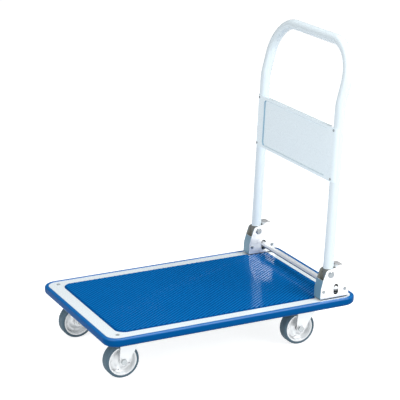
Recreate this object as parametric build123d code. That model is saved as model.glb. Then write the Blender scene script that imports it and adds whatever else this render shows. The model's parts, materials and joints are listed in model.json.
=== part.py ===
"""Folding platform cart, in millimetres.

The cart stands on its wheels on the plane z = 0, with +X towards the handle end, +Y to the left of
someone who faces the handle from the front, and the origin under the middle of the deck.
"""
import math
import os

from build123d import *

# Deck, over the bumper
DECK_LENGTH = 740.0
DECK_WIDTH = 480.0
DECK_HEIGHT = 138.0
DECK_CORNER_RADIUS = 40.0

# Bumper round the rim of the pan
BUMPER_DEPTH = 11.0
BUMPER_TOP_ROUND = 7.0
BUMPER_LOW_ROUND = 10.0
BUMPER_LIP = 4.0
BUMPER_LIP_THICKNESS = 2.0

# Pressed pan and the mat glued on it
PAN_SHEET = 1.6
PAN_DEPTH = 20.5
MAT_THICKNESS = 3.0
MAT_BORDER_FRONT = 35.5
MAT_BORDER_SIDE = 31.0
MAT_BORDER_REAR = 42.5
MAT_CORNER_RADIUS = 20.0
MAT_GAP = 1.0

# Hat-section members under the pan, which carry the casters
MEMBER_DEPTH = 15.0
MEMBER_BOLT_EDGE = 12.0
MEMBER_FLANGE = 20.0
MEMBER_SHEET = 2.0
MEMBER_END_GAP = 12.4

# Caster places, from the deck's front end, the handle's pivot and the deck's sides
AXLE_FRONT_SET = 69.5
AXLE_REAR_SET = 64.0
CASTER_SIDE_SET = 85.0
CASTER_TRAIL = 24.0

# Wheels
WHEEL_DIAMETER = 94.0
TYRE_WIDTH = 32.0
TYRE_THICKNESS = 11.8
TYRE_SHOULDER = 6.0
TYRE_WALL_SHARE = 0.9
RIM_SHEET = 1.6
RIM_BED_SLOPE = 2.6
RIM_SIDE_SET = 1.4
RIM_LIP_HEIGHT = 1.6
RIM_DISC_RADIUS = 23.0
RIM_HUB_RISE = 9.5
RIM_HUB_WIDTH = 3.4
TYRE_LIP_GAP = 0.3
AXLE_DIAMETER = 10.0
HUB_BUSH_WALL = 4.0
AXLE_RUNNING_GAP = 0.05
HUB_SIDE_GAP = 0.3

# Forks
FORK_TYRE_GAP = 2.0
FORK_SHEET = 2.5
FORK_BEND_RADIUS = 6.0
FORK_FRONT = 6.0
FORK_REAR = 56.0
FORK_SKIRT = 10.0
FORK_EYE_RADIUS = 12.0
AXLE_HEAD_ACROSS_FLATS = 15.0
AXLE_HEAD_HEIGHT = 6.0
AXLE_NUT_HEIGHT = 7.0
AXLE_THREAD_END = 2.0

# Caster plates, their bolts and the swivel heads
PLATE_EDGE_X = 9.0
PLATE_EDGE_Y = 10.0
PLATE_THICKNESS = 3.0
PLATE_CORNER_RADIUS = 8.0
PLATE_BOLT_SPACING_X = 62.0
PLATE_BOLT_SPACING_Y = 76.0
PLATE_BOLT_DIAMETER = 8.0
PLATE_BOLT_ACROSS_FLATS = 13.0
PLATE_BOLT_HEAD = 5.3
PLATE_NUT_HEIGHT = 6.5
PLATE_BOLT_END = 1.5
BOLT_HOLE_GAP = 0.4
BALL_DIAMETER = 5.0
BALL_RING_RADIUS = 11.5
BALL_COUNT = 12
BALL_SEAT = 0.3
BALL_RUNNING_GAP = 0.3
KINGPIN_DIAMETER = 10.0
KINGPIN_HEAD_DIAMETER = 20.0
KINGPIN_HEAD_HEIGHT = 4.0
KINGPIN_HEAD_GAP = 0.3
KINGPIN_RUNNING_GAP = 0.05
FORK_RIVET_DIAMETER = 8.0
FORK_RIVET_HEAD = 14.0
FORK_RIVET_HEAD_HEIGHT = 3.0
FORK_RIVET_SPACING = 20.0

# Rivets at the deck's front corners
CORNER_RIVET_DIAMETER = 6.0
CORNER_RIVET_HEAD = 10.0
CORNER_RIVET_RISE = 2.2
CORNER_RIVET_SIDE_SET = 34.0

# Handle pivot, from the deck's rear end and top, and hinge brackets
PIVOT_REAR_SET = 81.5
PIVOT_RISE = 70.0
PIVOT_PIN_DIAMETER = 10.0
PIVOT_HEAD_DIAMETER = 18.0
PIVOT_HEAD_HEIGHT = 3.0
PIVOT_RUNNING_GAP = 0.05
PIVOT_BUSH_WALL = 2.5
BRACKET_SHEET = 2.0
BRACKET_SIDE_GAP = 0.3
BRACKET_EDGE_SET = 5.5
BUSH_PROUD = 1.2
BRACKET_FRONT = -32.0
BRACKET_REAR = 56.0
BRACKET_BASE_RISE = 4.0
BRACKET_ABOVE_PIVOT = 23.5
BRACKET_KNEE_RISE = 32.0
BRACKET_SHOULDER_ABOVE_PIVOT = 12.0
BRACKET_KNEE_SET = 1.5
BRACKET_WEB_SET = 8.0
BRACKET_SHOULDER_SET = 18.0
BRACKET_REAR_SET = 12.0
BRACKET_HOOD_STEP = 4.5
BRACKET_HOOD_RAMP = 4.0
BRACKET_ROUND = 9.0
BRACKET_STOP_GAP = 0.4
SADDLE_SHEET = 2.5
SADDLE_TAB_SHEET = 2.0
SADDLE_TAB_RISE = 30.0
SADDLE_TAB_LENGTH = 12.0
SADDLE_END_GAP = 0.5
BRACKET_RIVET_DIAMETER = 5.0
BRACKET_RIVET_HEAD = 9.0
BRACKET_RIVET_HEAD_HEIGHT = 2.0
BRACKET_RIVET_RISE = 24.0
SADDLE_RIVET_DIAMETER = 8.0
SADDLE_RIVET_HEAD = 13.0
SADDLE_RIVET_HEAD_HEIGHT = 2.5

# Foot bar of the lock, which slides down in slots in the brackets
BAR_DIAMETER = 14.0
BAR_BEHIND_PIVOT = 16.0
BAR_RISE = 28.5
BAR_TRAVEL = 9.0
BAR_END_PROUD = 1.5
SLOT_SIDE_GAP = 0.3
SLOT_LOW_GAP = 1.0
SLOT_HIGH_GAP = 6.0
CLIP_WALL = 1.5
CLIP_THICKNESS = 0.9
SPRING_WIRE = 1.4
SPRING_RADIUS = 5.2
SPRING_TURNS = 3.5
SPRING_GAP = 0.2
SPRING_POST_GAP = 0.7
SPRING_POST_RISE = 4.0

# Handle tube, with lengths along the leg from the pivot
TUBE_DIAMETER = 28.0
TUBE_WALL = 1.5
HANDLE_LEAN = 3.2
HANDLE_BEND_ANGLE = 11.6
HANDLE_LEG = 462.0
HANDLE_TOP = 160.5
HANDLE_SIDE_BEND_RADIUS = 110.0
HANDLE_CORNER_RADIUS = 100.0
HANDLE_FOOT_GAP = 1.0
PLUG_FLANGE = 3.0
PLUG_LENGTH = 12.0
PLUG_FIT = 0.1

# Panel between the legs
PANEL_SHEET = 1.2
PANEL_FIT = 0.05
PANEL_LOW = 256.0
PANEL_HIGH = 403.0
PANEL_WRAP_ANGLE = 70.0
PANEL_FIELD_SIDE = 30.0
PANEL_FIELD_LOW = 7.0
PANEL_FIELD_HIGH = 8.0
PANEL_FIELD_DEPTH = 3.0
PANEL_FIELD_TAPER = 40.0
PANEL_FIELD_RADIUS = 10.0
PANEL_RETURN = 9.0
PANEL_RIVET_DIAMETER = 4.0
PANEL_RIVET_HEAD = 7.0
PANEL_RIVET_RISE = 1.6
PANEL_RIVET_INSET = 7.0

# Sizes worked out from those above
PAN_LENGTH = DECK_LENGTH - 2 * BUMPER_DEPTH
PAN_WIDTH = DECK_WIDTH - 2 * BUMPER_DEPTH
PAN_CORNER_RADIUS = DECK_CORNER_RADIUS - BUMPER_DEPTH
PAN_UNDERSIDE = DECK_HEIGHT - PAN_SHEET
BUMPER_HEIGHT = PAN_DEPTH + BUMPER_LIP_THICKNESS
MEMBER_LENGTH = PAN_WIDTH - 2 * PAN_SHEET - 2 * MEMBER_END_GAP
MEMBER_FLAT = PLATE_BOLT_SPACING_X + 2 * MEMBER_BOLT_EDGE
MEMBER_BOTTOM = PAN_UNDERSIDE - MEMBER_DEPTH
PLATE_LENGTH = PLATE_BOLT_SPACING_X + 2 * PLATE_EDGE_X
PLATE_WIDTH = PLATE_BOLT_SPACING_Y + 2 * PLATE_EDGE_Y
PLATE_BOTTOM = MEMBER_BOTTOM - PLATE_THICKNESS
PIVOT_X = DECK_LENGTH / 2 - PIVOT_REAR_SET
PIVOT_Z = DECK_HEIGHT + PIVOT_RISE
AXLE_FRONT_X = AXLE_FRONT_SET - DECK_LENGTH / 2
AXLE_REAR_X = PIVOT_X - AXLE_REAR_SET
AXLE_Z = WHEEL_DIAMETER / 2
CASTER_Y = DECK_WIDTH / 2 - CASTER_SIDE_SET
RIM_BED_RADIUS = WHEEL_DIAMETER / 2 - TYRE_THICKNESS
RIM_WIDTH = TYRE_WIDTH - 2 * RIM_SIDE_SET
FORK_GAP = TYRE_WIDTH + 2 * FORK_TYRE_GAP
FORK_WIDTH = FORK_GAP + 2 * FORK_SHEET
SWIVEL_CROWN_TOP = PLATE_BOTTOM - BALL_DIAMETER + 2 * BALL_SEAT
TUBE_RADIUS = TUBE_DIAMETER / 2
BRACKET_RISE = PIVOT_RISE + BRACKET_ABOVE_PIVOT
BRACKET_SHOULDER_RISE = PIVOT_RISE + BRACKET_SHOULDER_ABOVE_PIVOT
BRACKET_WEB_RISE = PIVOT_RISE - TUBE_RADIUS - BRACKET_STOP_GAP
BRACKET_INNER = TUBE_DIAMETER + 2 * BUSH_PROUD + 2 * BRACKET_SIDE_GAP
BRACKET_WIDTH = BRACKET_INNER + 2 * BRACKET_SHEET
LEG_Y = PAN_WIDTH / 2 - BRACKET_EDGE_SET - BRACKET_WIDTH / 2
SADDLE_TOP = DECK_HEIGHT + SADDLE_SHEET
BAR_X = PIVOT_X + BAR_BEHIND_PIVOT
BAR_Z = DECK_HEIGHT + BAR_RISE
SLOT_LOW = BAR_RISE - BAR_DIAMETER / 2 - BAR_TRAVEL - SLOT_LOW_GAP
SLOT_HIGH = BAR_RISE + BAR_DIAMETER / 2 + SLOT_HIGH_GAP
CLIP_DIAMETER = BAR_DIAMETER + 2 * CLIP_WALL
HANDLE_FOOT = PIVOT_RISE - BAR_RISE - BAR_DIAMETER / 2 - HANDLE_FOOT_GAP - PLUG_FLANGE

SIDES = {"left": 1, "right": -1}
CASTERS = {
    "front_left": (AXLE_FRONT_X, CASTER_Y),
    "front_right": (AXLE_FRONT_X, -CASTER_Y),
    "rear_left": (AXLE_REAR_X, CASTER_Y),
    "rear_right": (AXLE_REAR_X, -CASTER_Y),
}


def block(x, y, z):
    """Box between the two values of each pair."""
    centre = Pos((x[0] + x[1]) / 2, (y[0] + y[1]) / 2, (z[0] + z[1]) / 2)
    return centre * Box(x[1] - x[0], y[1] - y[0], z[1] - z[0])


def rod_x(diameter, x, y, z):
    """Cylinder along X between the two values of x."""
    return Pos((x[0] + x[1]) / 2, y, z) * Rot(0, 90, 0) * Cylinder(diameter / 2, abs(x[1] - x[0]))


def rod_y(diameter, x, y, z):
    """Cylinder along Y between the two values of y."""
    return Pos(x, (y[0] + y[1]) / 2, z) * Rot(90, 0, 0) * Cylinder(diameter / 2, abs(y[1] - y[0]))


def rod_z(diameter, x, y, z):
    """Cylinder along Z between the two values of z."""
    return Pos(x, y, (z[0] + z[1]) / 2) * Cylinder(diameter / 2, abs(z[1] - z[0]))


def domed_z(diameter, height, x, y, z, up):
    """Rivet head on the plane z, with a rounded rim, standing up or hanging down."""
    head = Pos(x, y, z + up * height / 2) * Cylinder(diameter / 2, height)
    rim = head.edges().filter_by(GeomType.CIRCLE).sort_by(Axis.Z)[-1 if up > 0 else 0]
    return fillet(rim, height * 0.8)


def domed_front(diameter, height, x, y, z):
    """Rivet head on a plane that faces -X, with a rounded rim."""
    head = Pos(x - height / 2, y, z) * Rot(0, 90, 0) * Cylinder(diameter / 2, height)
    rim = head.edges().filter_by(GeomType.CIRCLE).sort_by(Axis.X)[0]
    return fillet(rim, height * 0.8)


def domed_y(diameter, height, x, y, z, out):
    """Rivet head on the plane y, with a rounded rim, facing the way out says."""
    head = rod_y(diameter, x, (y, y + out * height), z)
    rim = head.edges().filter_by(GeomType.CIRCLE).sort_by(Axis.Y)[-1 if out > 0 else 0]
    return fillet(rim, height * 0.8)


def hexagon_y(across_flats, x, y, z):
    """Hexagonal head or nut along Y between the two values of y."""
    outline = Plane((x, y[0], z), x_dir=(1, 0, 0), z_dir=(0, 1, 0)) * RegularPolygon(across_flats / 2, 6, False)
    return extrude(outline, amount=y[1] - y[0], dir=(0, 1, 0))


def hexagon_z(across_flats, x, y, z):
    """Hexagonal head or nut along Z between the two values of z."""
    outline = Pos(x, y, z[0]) * RegularPolygon(across_flats / 2, 6, False)
    return extrude(outline, amount=z[1] - z[0], dir=(0, 0, 1))


def slab(length, width, radius, z, x=0.0, y=0.0):
    """Round-cornered plate between the two values of z."""
    outline = Pos(x, y, z[0]) * RectangleRounded(length, width, radius)
    return extrude(outline, amount=z[1] - z[0], dir=(0, 0, 1))


def prism_y(points, y):
    """Solid whose outline in X and Z runs through the points, between the two values of y."""
    corners = [(px, y[0], pz) for px, pz in points]
    outline = make_face(Polyline(*corners, close=True))
    return extrude(outline, amount=y[1] - y[0], dir=(0, 1, 0))


def turned(points, x, y, z, out):
    """Ring about the Y axis through (x, y, z), from points of axial distance and radius."""
    corners = [(x + radius, y + out * axial, z) for axial, radius in points]
    outline = make_face(Polyline(*corners, close=True))
    return revolve(outline, Axis((x, y, z), (0, 1, 0)), 360)


def deck_pan():
    """White pressed pan: a flat top with its rim turned down."""
    pan = slab(PAN_LENGTH, PAN_WIDTH, PAN_CORNER_RADIUS, (DECK_HEIGHT - PAN_DEPTH, DECK_HEIGHT))
    hollow = slab(PAN_LENGTH - 2 * PAN_SHEET, PAN_WIDTH - 2 * PAN_SHEET, PAN_CORNER_RADIUS - PAN_SHEET,
                  (DECK_HEIGHT - PAN_DEPTH, PAN_UNDERSIDE))
    pan -= hollow
    for x, y in corner_rivet_places():
        pan -= rod_z(CORNER_RIVET_DIAMETER, x, y, (PAN_UNDERSIDE, DECK_HEIGHT))
    for x, y in saddle_rivet_places():
        pan -= rod_z(SADDLE_RIVET_DIAMETER, x, y, (PAN_UNDERSIDE, DECK_HEIGHT))
    return pan


def deck_mat():
    """Ribbed mat on the pan, notched round the hinge brackets."""
    length = PAN_LENGTH - MAT_BORDER_FRONT - MAT_BORDER_REAR
    width = PAN_WIDTH - 2 * MAT_BORDER_SIDE
    middle = (MAT_BORDER_FRONT - MAT_BORDER_REAR) / 2
    z = (DECK_HEIGHT, DECK_HEIGHT + MAT_THICKNESS)
    mat = slab(length, width, MAT_CORNER_RADIUS, z, x=middle)
    for side in SIDES.values():
        inner = side * (LEG_Y - BRACKET_WIDTH / 2 - MAT_GAP)
        outer = side * DECK_WIDTH / 2
        x = (PIVOT_X + BRACKET_FRONT - MAT_GAP, DECK_LENGTH / 2)
        mat -= block(x, sorted((inner, outer)), z)
    return mat


def bumper():
    """Soft bumper with a rounded face, flush with the pan and lipped under its rim."""
    z = (DECK_HEIGHT - BUMPER_HEIGHT, DECK_HEIGHT)
    ring = slab(DECK_LENGTH, DECK_WIDTH, DECK_CORNER_RADIUS, z)
    ring = fillet(ring.faces().sort_by(Axis.Z)[-1].edges(), BUMPER_TOP_ROUND)
    ring = fillet(ring.faces().sort_by(Axis.Z)[0].edges(), BUMPER_LOW_ROUND)
    ring -= slab(PAN_LENGTH, PAN_WIDTH, PAN_CORNER_RADIUS, (DECK_HEIGHT - PAN_DEPTH, DECK_HEIGHT))
    inset = 2 * BUMPER_LIP
    return ring - slab(PAN_LENGTH - inset, PAN_WIDTH - inset, PAN_CORNER_RADIUS - BUMPER_LIP, z)


def corner_rivet_places():
    """Places of the rivets at the deck's front corners, on the front member's flange."""
    x = AXLE_FRONT_X + CASTER_TRAIL - MEMBER_FLAT / 2 - MEMBER_FLANGE / 2
    return [(x, side * (DECK_WIDTH / 2 - CORNER_RIVET_SIDE_SET)) for side in SIDES.values()]


def plate_bolt_places(axle_x, y):
    """Places of the four bolts of one caster plate."""
    middle = axle_x + CASTER_TRAIL
    return [(middle + i * PLATE_BOLT_SPACING_X / 2, y + j * PLATE_BOLT_SPACING_Y / 2)
            for i in (-1, 1) for j in (-1, 1)]


def member(axle_x, rivets):
    """Hat-section member across the deck, with its flanges against the pan."""
    middle = axle_x + CASTER_TRAIL
    half = MEMBER_FLAT / 2
    wide = half + MEMBER_FLANGE
    sheet = MEMBER_SHEET
    outline = [
        (-wide, PAN_UNDERSIDE), (-half + sheet, PAN_UNDERSIDE), (-half + sheet, MEMBER_BOTTOM + sheet),
        (half - sheet, MEMBER_BOTTOM + sheet), (half - sheet, PAN_UNDERSIDE), (wide, PAN_UNDERSIDE),
        (wide, PAN_UNDERSIDE - sheet), (half, PAN_UNDERSIDE - sheet), (half, MEMBER_BOTTOM),
        (-half, MEMBER_BOTTOM), (-half, PAN_UNDERSIDE - sheet), (-wide, PAN_UNDERSIDE - sheet),
    ]
    hat = prism_y([(middle + px, pz) for px, pz in outline], (-MEMBER_LENGTH / 2, MEMBER_LENGTH / 2))
    for y in (CASTER_Y, -CASTER_Y):
        for bolt_x, bolt_y in plate_bolt_places(axle_x, y):
            hat -= rod_z(PLATE_BOLT_DIAMETER + 2 * BOLT_HOLE_GAP, bolt_x, bolt_y,
                         (MEMBER_BOTTOM, MEMBER_BOTTOM + sheet))
    for x, y in rivets:
        hat -= rod_z(CORNER_RIVET_DIAMETER, x, y, (PAN_UNDERSIDE - sheet, PAN_UNDERSIDE))
    return hat


def corner_rivets():
    """Rivets that hold the front member's flange to the pan."""
    rivets = []
    for x, y in corner_rivet_places():
        low = PAN_UNDERSIDE - MEMBER_SHEET
        rivet = rod_z(CORNER_RIVET_DIAMETER, x, y, (low, DECK_HEIGHT))
        rivet += domed_z(CORNER_RIVET_HEAD, CORNER_RIVET_RISE, x, y, DECK_HEIGHT, 1)
        rivet += domed_z(CORNER_RIVET_HEAD, CORNER_RIVET_RISE, x, y, low, -1)
        rivets.append(rivet)
    return rivets


def tyre(axle_x, y):
    """Solid rubber tyre, seated on the sloping beds of the two rim halves."""
    half = TYRE_WIDTH / 2
    lip = RIM_WIDTH / 2 - RIM_SHEET
    lip_radius = RIM_BED_RADIUS + RIM_BED_SLOPE + RIM_LIP_HEIGHT + TYRE_LIP_GAP
    radius = WHEEL_DIAMETER / 2
    outline = [
        (0, RIM_BED_RADIUS), (lip, RIM_BED_RADIUS + RIM_BED_SLOPE), (lip, lip_radius), (half, lip_radius),
        (half, radius), (-half, radius), (-half, lip_radius), (-lip, lip_radius),
        (-lip, RIM_BED_RADIUS + RIM_BED_SLOPE),
    ]
    ring = turned(outline, axle_x, y, AXLE_Z, 1)
    circles = ring.edges().filter_by(GeomType.CIRCLE)
    shoulders = circles.filter_by(lambda edge: math.isclose(edge.radius, radius))
    return fillet(shoulders, min(TYRE_SHOULDER, (radius - lip_radius) * TYRE_WALL_SHARE))


def rim_half(axle_x, y, out):
    """Pressed half of a rim: lip, sloping bed, flat disc and a neck raised to the hub bush."""
    sheet = RIM_SHEET
    edge = RIM_WIDTH / 2
    bed_end = RIM_BED_RADIUS + RIM_BED_SLOPE
    hub = AXLE_DIAMETER / 2 + AXLE_RUNNING_GAP + HUB_BUSH_WALL
    outline = [
        (0, RIM_DISC_RADIUS), (0, RIM_BED_RADIUS), (edge - sheet, bed_end),
        (edge - sheet, bed_end + RIM_LIP_HEIGHT), (edge, bed_end + RIM_LIP_HEIGHT), (edge, bed_end - sheet),
        (sheet, RIM_BED_RADIUS - sheet), (sheet, RIM_DISC_RADIUS + sheet / 2),
        (RIM_HUB_RISE, hub + RIM_HUB_WIDTH), (RIM_HUB_RISE, hub), (RIM_HUB_RISE - sheet, hub),
        (RIM_HUB_RISE - sheet, hub + RIM_HUB_WIDTH - sheet / 2),
    ]
    return turned(outline, axle_x, y, AXLE_Z, out)


def hub_bush(axle_x, y):
    """Plain bush that turns on the axle between the fork's cheeks."""
    half = FORK_GAP / 2 - HUB_SIDE_GAP
    bore = AXLE_DIAMETER + 2 * AXLE_RUNNING_GAP
    bush = rod_y(bore + 2 * HUB_BUSH_WALL, axle_x, (y - half, y + half), AXLE_Z)
    return bush - rod_y(bore, axle_x, (y - half, y + half), AXLE_Z)


def fork(axle_x, y, crown_top):
    """Pressed fork: a crown with two cheeks that reach down and forward to the axle."""
    low = AXLE_Z - FORK_EYE_RADIUS
    x = (axle_x - FORK_EYE_RADIUS, axle_x + FORK_REAR)
    shell = block(x, (y - FORK_WIDTH / 2, y + FORK_WIDTH / 2), (low, crown_top))
    bends = shell.edges().filter_by(Axis.X).group_by(Axis.Z)[-1]
    shell = fillet(bends, FORK_BEND_RADIUS)
    inside = block(x, (y - FORK_GAP / 2, y + FORK_GAP / 2), (low, crown_top - FORK_SHEET))
    inner_bends = inside.edges().filter_by(Axis.X).group_by(Axis.Z)[-1]
    shell -= fillet(inner_bends, FORK_BEND_RADIUS - FORK_SHEET)
    plane = Plane((axle_x, y - FORK_WIDTH / 2, AXLE_Z), x_dir=(1, 0, 0), z_dir=(0, -1, 0))
    rise = crown_top - AXLE_Z
    skirt = rise - FORK_SKIRT
    side = Polyline((-FORK_FRONT, skirt), (-FORK_FRONT, rise), (FORK_REAR, rise), (FORK_REAR, skirt))
    outline = make_hull(side.edges() + Edge.make_circle(FORK_EYE_RADIUS))
    shell &= extrude(plane * outline, amount=-FORK_WIDTH)
    return shell - rod_y(AXLE_DIAMETER, axle_x, (y - FORK_WIDTH / 2, y + FORK_WIDTH / 2), AXLE_Z)


def swivel_fork(axle_x, y):
    """Fork with the running hole for its kingpin and the lower groove of its ball race."""
    piece = fork(axle_x, y, SWIVEL_CROWN_TOP)
    king_x = axle_x + CASTER_TRAIL
    piece -= rod_z(KINGPIN_DIAMETER + 2 * KINGPIN_RUNNING_GAP, king_x, y,
                   (SWIVEL_CROWN_TOP - FORK_SHEET, SWIVEL_CROWN_TOP))
    return piece - Pos(king_x, y, ball_height()) * Torus(BALL_RING_RADIUS, BALL_DIAMETER / 2)


def rigid_fork(axle_x, y):
    """Fork whose crown is riveted straight to its plate."""
    piece = fork(axle_x, y, PLATE_BOTTOM)
    for x in fork_rivet_places(axle_x):
        piece -= rod_z(FORK_RIVET_DIAMETER, x, y, (PLATE_BOTTOM - FORK_SHEET, PLATE_BOTTOM))
    return piece


def ball_height():
    """Height of the centres of the balls in the swivel race."""
    return SWIVEL_CROWN_TOP - BALL_SEAT + BALL_DIAMETER / 2


def balls(axle_x, y):
    """Ring of balls between a swivelling crown and its plate."""
    places = PolarLocations(BALL_RING_RADIUS, BALL_COUNT)
    centre = Pos(axle_x + CASTER_TRAIL, y, ball_height())
    return [centre * place * Sphere(BALL_DIAMETER / 2) for place in places]


def fork_rivet_places(axle_x):
    """Places along X of the two rivets in a rigid fork's crown."""
    middle = axle_x + CASTER_TRAIL
    return [middle - FORK_RIVET_SPACING / 2, middle + FORK_RIVET_SPACING / 2]


def caster_plate(axle_x, y):
    """Top plate of a caster with its four bolt holes."""
    z = (PLATE_BOTTOM, MEMBER_BOTTOM)
    plate = slab(PLATE_LENGTH, PLATE_WIDTH, PLATE_CORNER_RADIUS, z, axle_x + CASTER_TRAIL, y)
    for bolt_x, bolt_y in plate_bolt_places(axle_x, y):
        plate -= rod_z(PLATE_BOLT_DIAMETER + 2 * BOLT_HOLE_GAP, bolt_x, bolt_y, z)
    return plate


def swivel_plate(axle_x, y):
    """Caster plate with the kingpin hole and the upper groove of the ball race."""
    king_x = axle_x + CASTER_TRAIL
    plate = caster_plate(axle_x, y)
    plate -= rod_z(KINGPIN_DIAMETER, king_x, y, (PLATE_BOTTOM, MEMBER_BOTTOM))
    groove = Torus(BALL_RING_RADIUS, BALL_DIAMETER / 2 + BALL_RUNNING_GAP)
    return plate - Pos(king_x, y, ball_height()) * groove


def rigid_plate(axle_x, y):
    """Caster plate with the holes for the rivets of its fork."""
    plate = caster_plate(axle_x, y)
    for x in fork_rivet_places(axle_x):
        plate -= rod_z(FORK_RIVET_DIAMETER, x, y, (PLATE_BOTTOM, MEMBER_BOTTOM))
    return plate


def kingpin(axle_x, y):
    """Headed kingpin, fast in the plate, on which a fork swivels."""
    king_x = axle_x + CASTER_TRAIL
    head_top = SWIVEL_CROWN_TOP - FORK_SHEET - KINGPIN_HEAD_GAP
    pin = rod_z(KINGPIN_DIAMETER, king_x, y, (head_top, MEMBER_BOTTOM))
    return pin + domed_z(KINGPIN_HEAD_DIAMETER, KINGPIN_HEAD_HEIGHT, king_x, y, head_top, -1)


def fork_rivet(x, y):
    """Rivet that fastens a rigid fork's crown to its plate."""
    low = PLATE_BOTTOM - FORK_SHEET
    rivet = rod_z(FORK_RIVET_DIAMETER, x, y, (low, MEMBER_BOTTOM))
    return rivet + domed_z(FORK_RIVET_HEAD, FORK_RIVET_HEAD_HEIGHT, x, y, low, -1)


def plate_bolt(x, y):
    """Hexagon bolt up through a caster plate and its member."""
    end = MEMBER_BOTTOM + MEMBER_SHEET + PLATE_NUT_HEIGHT + PLATE_BOLT_END
    bolt = rod_z(PLATE_BOLT_DIAMETER, x, y, (PLATE_BOTTOM, end))
    return bolt + hexagon_z(PLATE_BOLT_ACROSS_FLATS, x, y, (PLATE_BOTTOM - PLATE_BOLT_HEAD, PLATE_BOTTOM))


def plate_nut(x, y):
    """Nut of a caster bolt, on the upper face of the member's flat."""
    z = (MEMBER_BOTTOM + MEMBER_SHEET, MEMBER_BOTTOM + MEMBER_SHEET + PLATE_NUT_HEIGHT)
    return hexagon_z(PLATE_BOLT_ACROSS_FLATS, x, y, z) - rod_z(PLATE_BOLT_DIAMETER, x, y, z)


def axle_bolt(axle_x, y):
    """Axle bolt with its head on the outer cheek of the fork."""
    out = math.copysign(1, y)
    face = y + out * FORK_WIDTH / 2
    end = y - out * (FORK_WIDTH / 2 + AXLE_NUT_HEIGHT + AXLE_THREAD_END)
    bolt = rod_y(AXLE_DIAMETER, axle_x, sorted((face, end)), AXLE_Z)
    head = sorted((face, face + out * AXLE_HEAD_HEIGHT))
    return bolt + hexagon_y(AXLE_HEAD_ACROSS_FLATS, axle_x, head, AXLE_Z)


def axle_nut(axle_x, y):
    """Nut of an axle bolt, on the inner cheek of the fork."""
    out = math.copysign(1, y)
    face = y - out * FORK_WIDTH / 2
    span = sorted((face, face - out * AXLE_NUT_HEIGHT))
    return hexagon_y(AXLE_HEAD_ACROSS_FLATS, axle_x, span, AXLE_Z) - rod_y(AXLE_DIAMETER, axle_x, span, AXLE_Z)


def hood_front():
    """Front edge of the hood, just behind the upright leg at the bracket's top."""
    lean = math.radians(HANDLE_LEAN)
    leg_x = PIVOT_X + (BRACKET_RISE - PIVOT_RISE) * math.tan(lean)
    return leg_x + TUBE_RADIUS / math.cos(lean) + BRACKET_STOP_GAP


def rear_edge(rise):
    """Place along X of a bracket's slanting rear edge at a height above the deck."""
    share = (rise - BRACKET_BASE_RISE) / (BRACKET_RISE - BRACKET_BASE_RISE)
    return PIVOT_X + BRACKET_REAR - BRACKET_REAR_SET * share


def bracket_outline(inset):
    """Side outline of a hinge bracket, or the hollow inside it, drawn in by the inset and open below."""
    front = PIVOT_X + BRACKET_FRONT
    base = BRACKET_BASE_RISE - 2 * inset
    shoulder = (front + BRACKET_SHOULDER_SET, BRACKET_SHOULDER_RISE)
    crest = (rear_edge(BRACKET_RISE), BRACKET_RISE)
    ramp = hood_front() + BRACKET_SHEET
    corners = [
        (front, base), (front + BRACKET_KNEE_SET, BRACKET_KNEE_RISE),
        (front + BRACKET_WEB_SET, BRACKET_WEB_RISE), shoulder, (ramp, BRACKET_RISE - BRACKET_HOOD_STEP),
        (ramp + BRACKET_HOOD_RAMP, BRACKET_RISE), crest, (rear_edge(base), base),
    ]
    face = make_face(Polyline(*corners, close=True))
    rounded = [face.vertices().sort_by_distance(corner)[0] for corner in (shoulder, crest)]
    face = fillet(rounded, BRACKET_ROUND)
    return offset(face, -inset) if inset else face


def saddle_span():
    """Front and rear ends of a saddle, inside the bracket's web and hood."""
    front = PIVOT_X + BRACKET_FRONT + BRACKET_KNEE_SET + BRACKET_SHEET + SADDLE_END_GAP
    rear = rear_edge(SADDLE_TAB_RISE) - BRACKET_SHEET - SADDLE_END_GAP
    return front, rear


def tab_middles():
    """Places along X of the middles of a saddle's front and rear tabs."""
    front, rear = saddle_span()
    return front + SADDLE_TAB_LENGTH / 2, rear - SADDLE_TAB_LENGTH / 2


def hinge_bracket(side):
    """Folded sheet bracket: two walls, a low front web, and a hood that stops the leg behind."""
    middle = side * LEG_Y
    wall = BRACKET_WIDTH / 2
    plane = Plane((0, middle + wall, DECK_HEIGHT), x_dir=(1, 0, 0), z_dir=(0, -1, 0))
    shell = extrude(plane * bracket_outline(0), amount=BRACKET_WIDTH)
    inner = Plane((0, middle + BRACKET_INNER / 2, DECK_HEIGHT), x_dir=(1, 0, 0), z_dir=(0, -1, 0))
    shell -= extrude(inner * bracket_outline(BRACKET_SHEET), amount=BRACKET_INNER)
    y = (middle - BRACKET_INNER / 2, middle + BRACKET_INNER / 2)
    mouth = (PIVOT_X + BRACKET_FRONT, hood_front())
    shell -= block(mouth, y, (DECK_HEIGHT + BRACKET_WEB_RISE, DECK_HEIGHT + BRACKET_RISE))
    span = (middle - wall, middle + wall)
    shell -= rod_y(PIVOT_PIN_DIAMETER, PIVOT_X, span, PIVOT_Z)
    for x in tab_middles():
        shell -= rod_y(BRACKET_RIVET_DIAMETER, x, span, DECK_HEIGHT + BRACKET_RIVET_RISE)
    width = BAR_DIAMETER + 2 * SLOT_SIDE_GAP
    ends = (DECK_HEIGHT + SLOT_LOW + width / 2, DECK_HEIGHT + SLOT_HIGH - width / 2)
    shell -= block((BAR_X - width / 2, BAR_X + width / 2), span, ends)
    for end in ends:
        shell -= rod_y(width, BAR_X, span, end)
    return shell


def saddle_rivet_places():
    """Places of the rivets that hold both saddles to the pan."""
    return [(x, side * LEG_Y) for x in tab_middles() for side in SIDES.values()]


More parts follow.
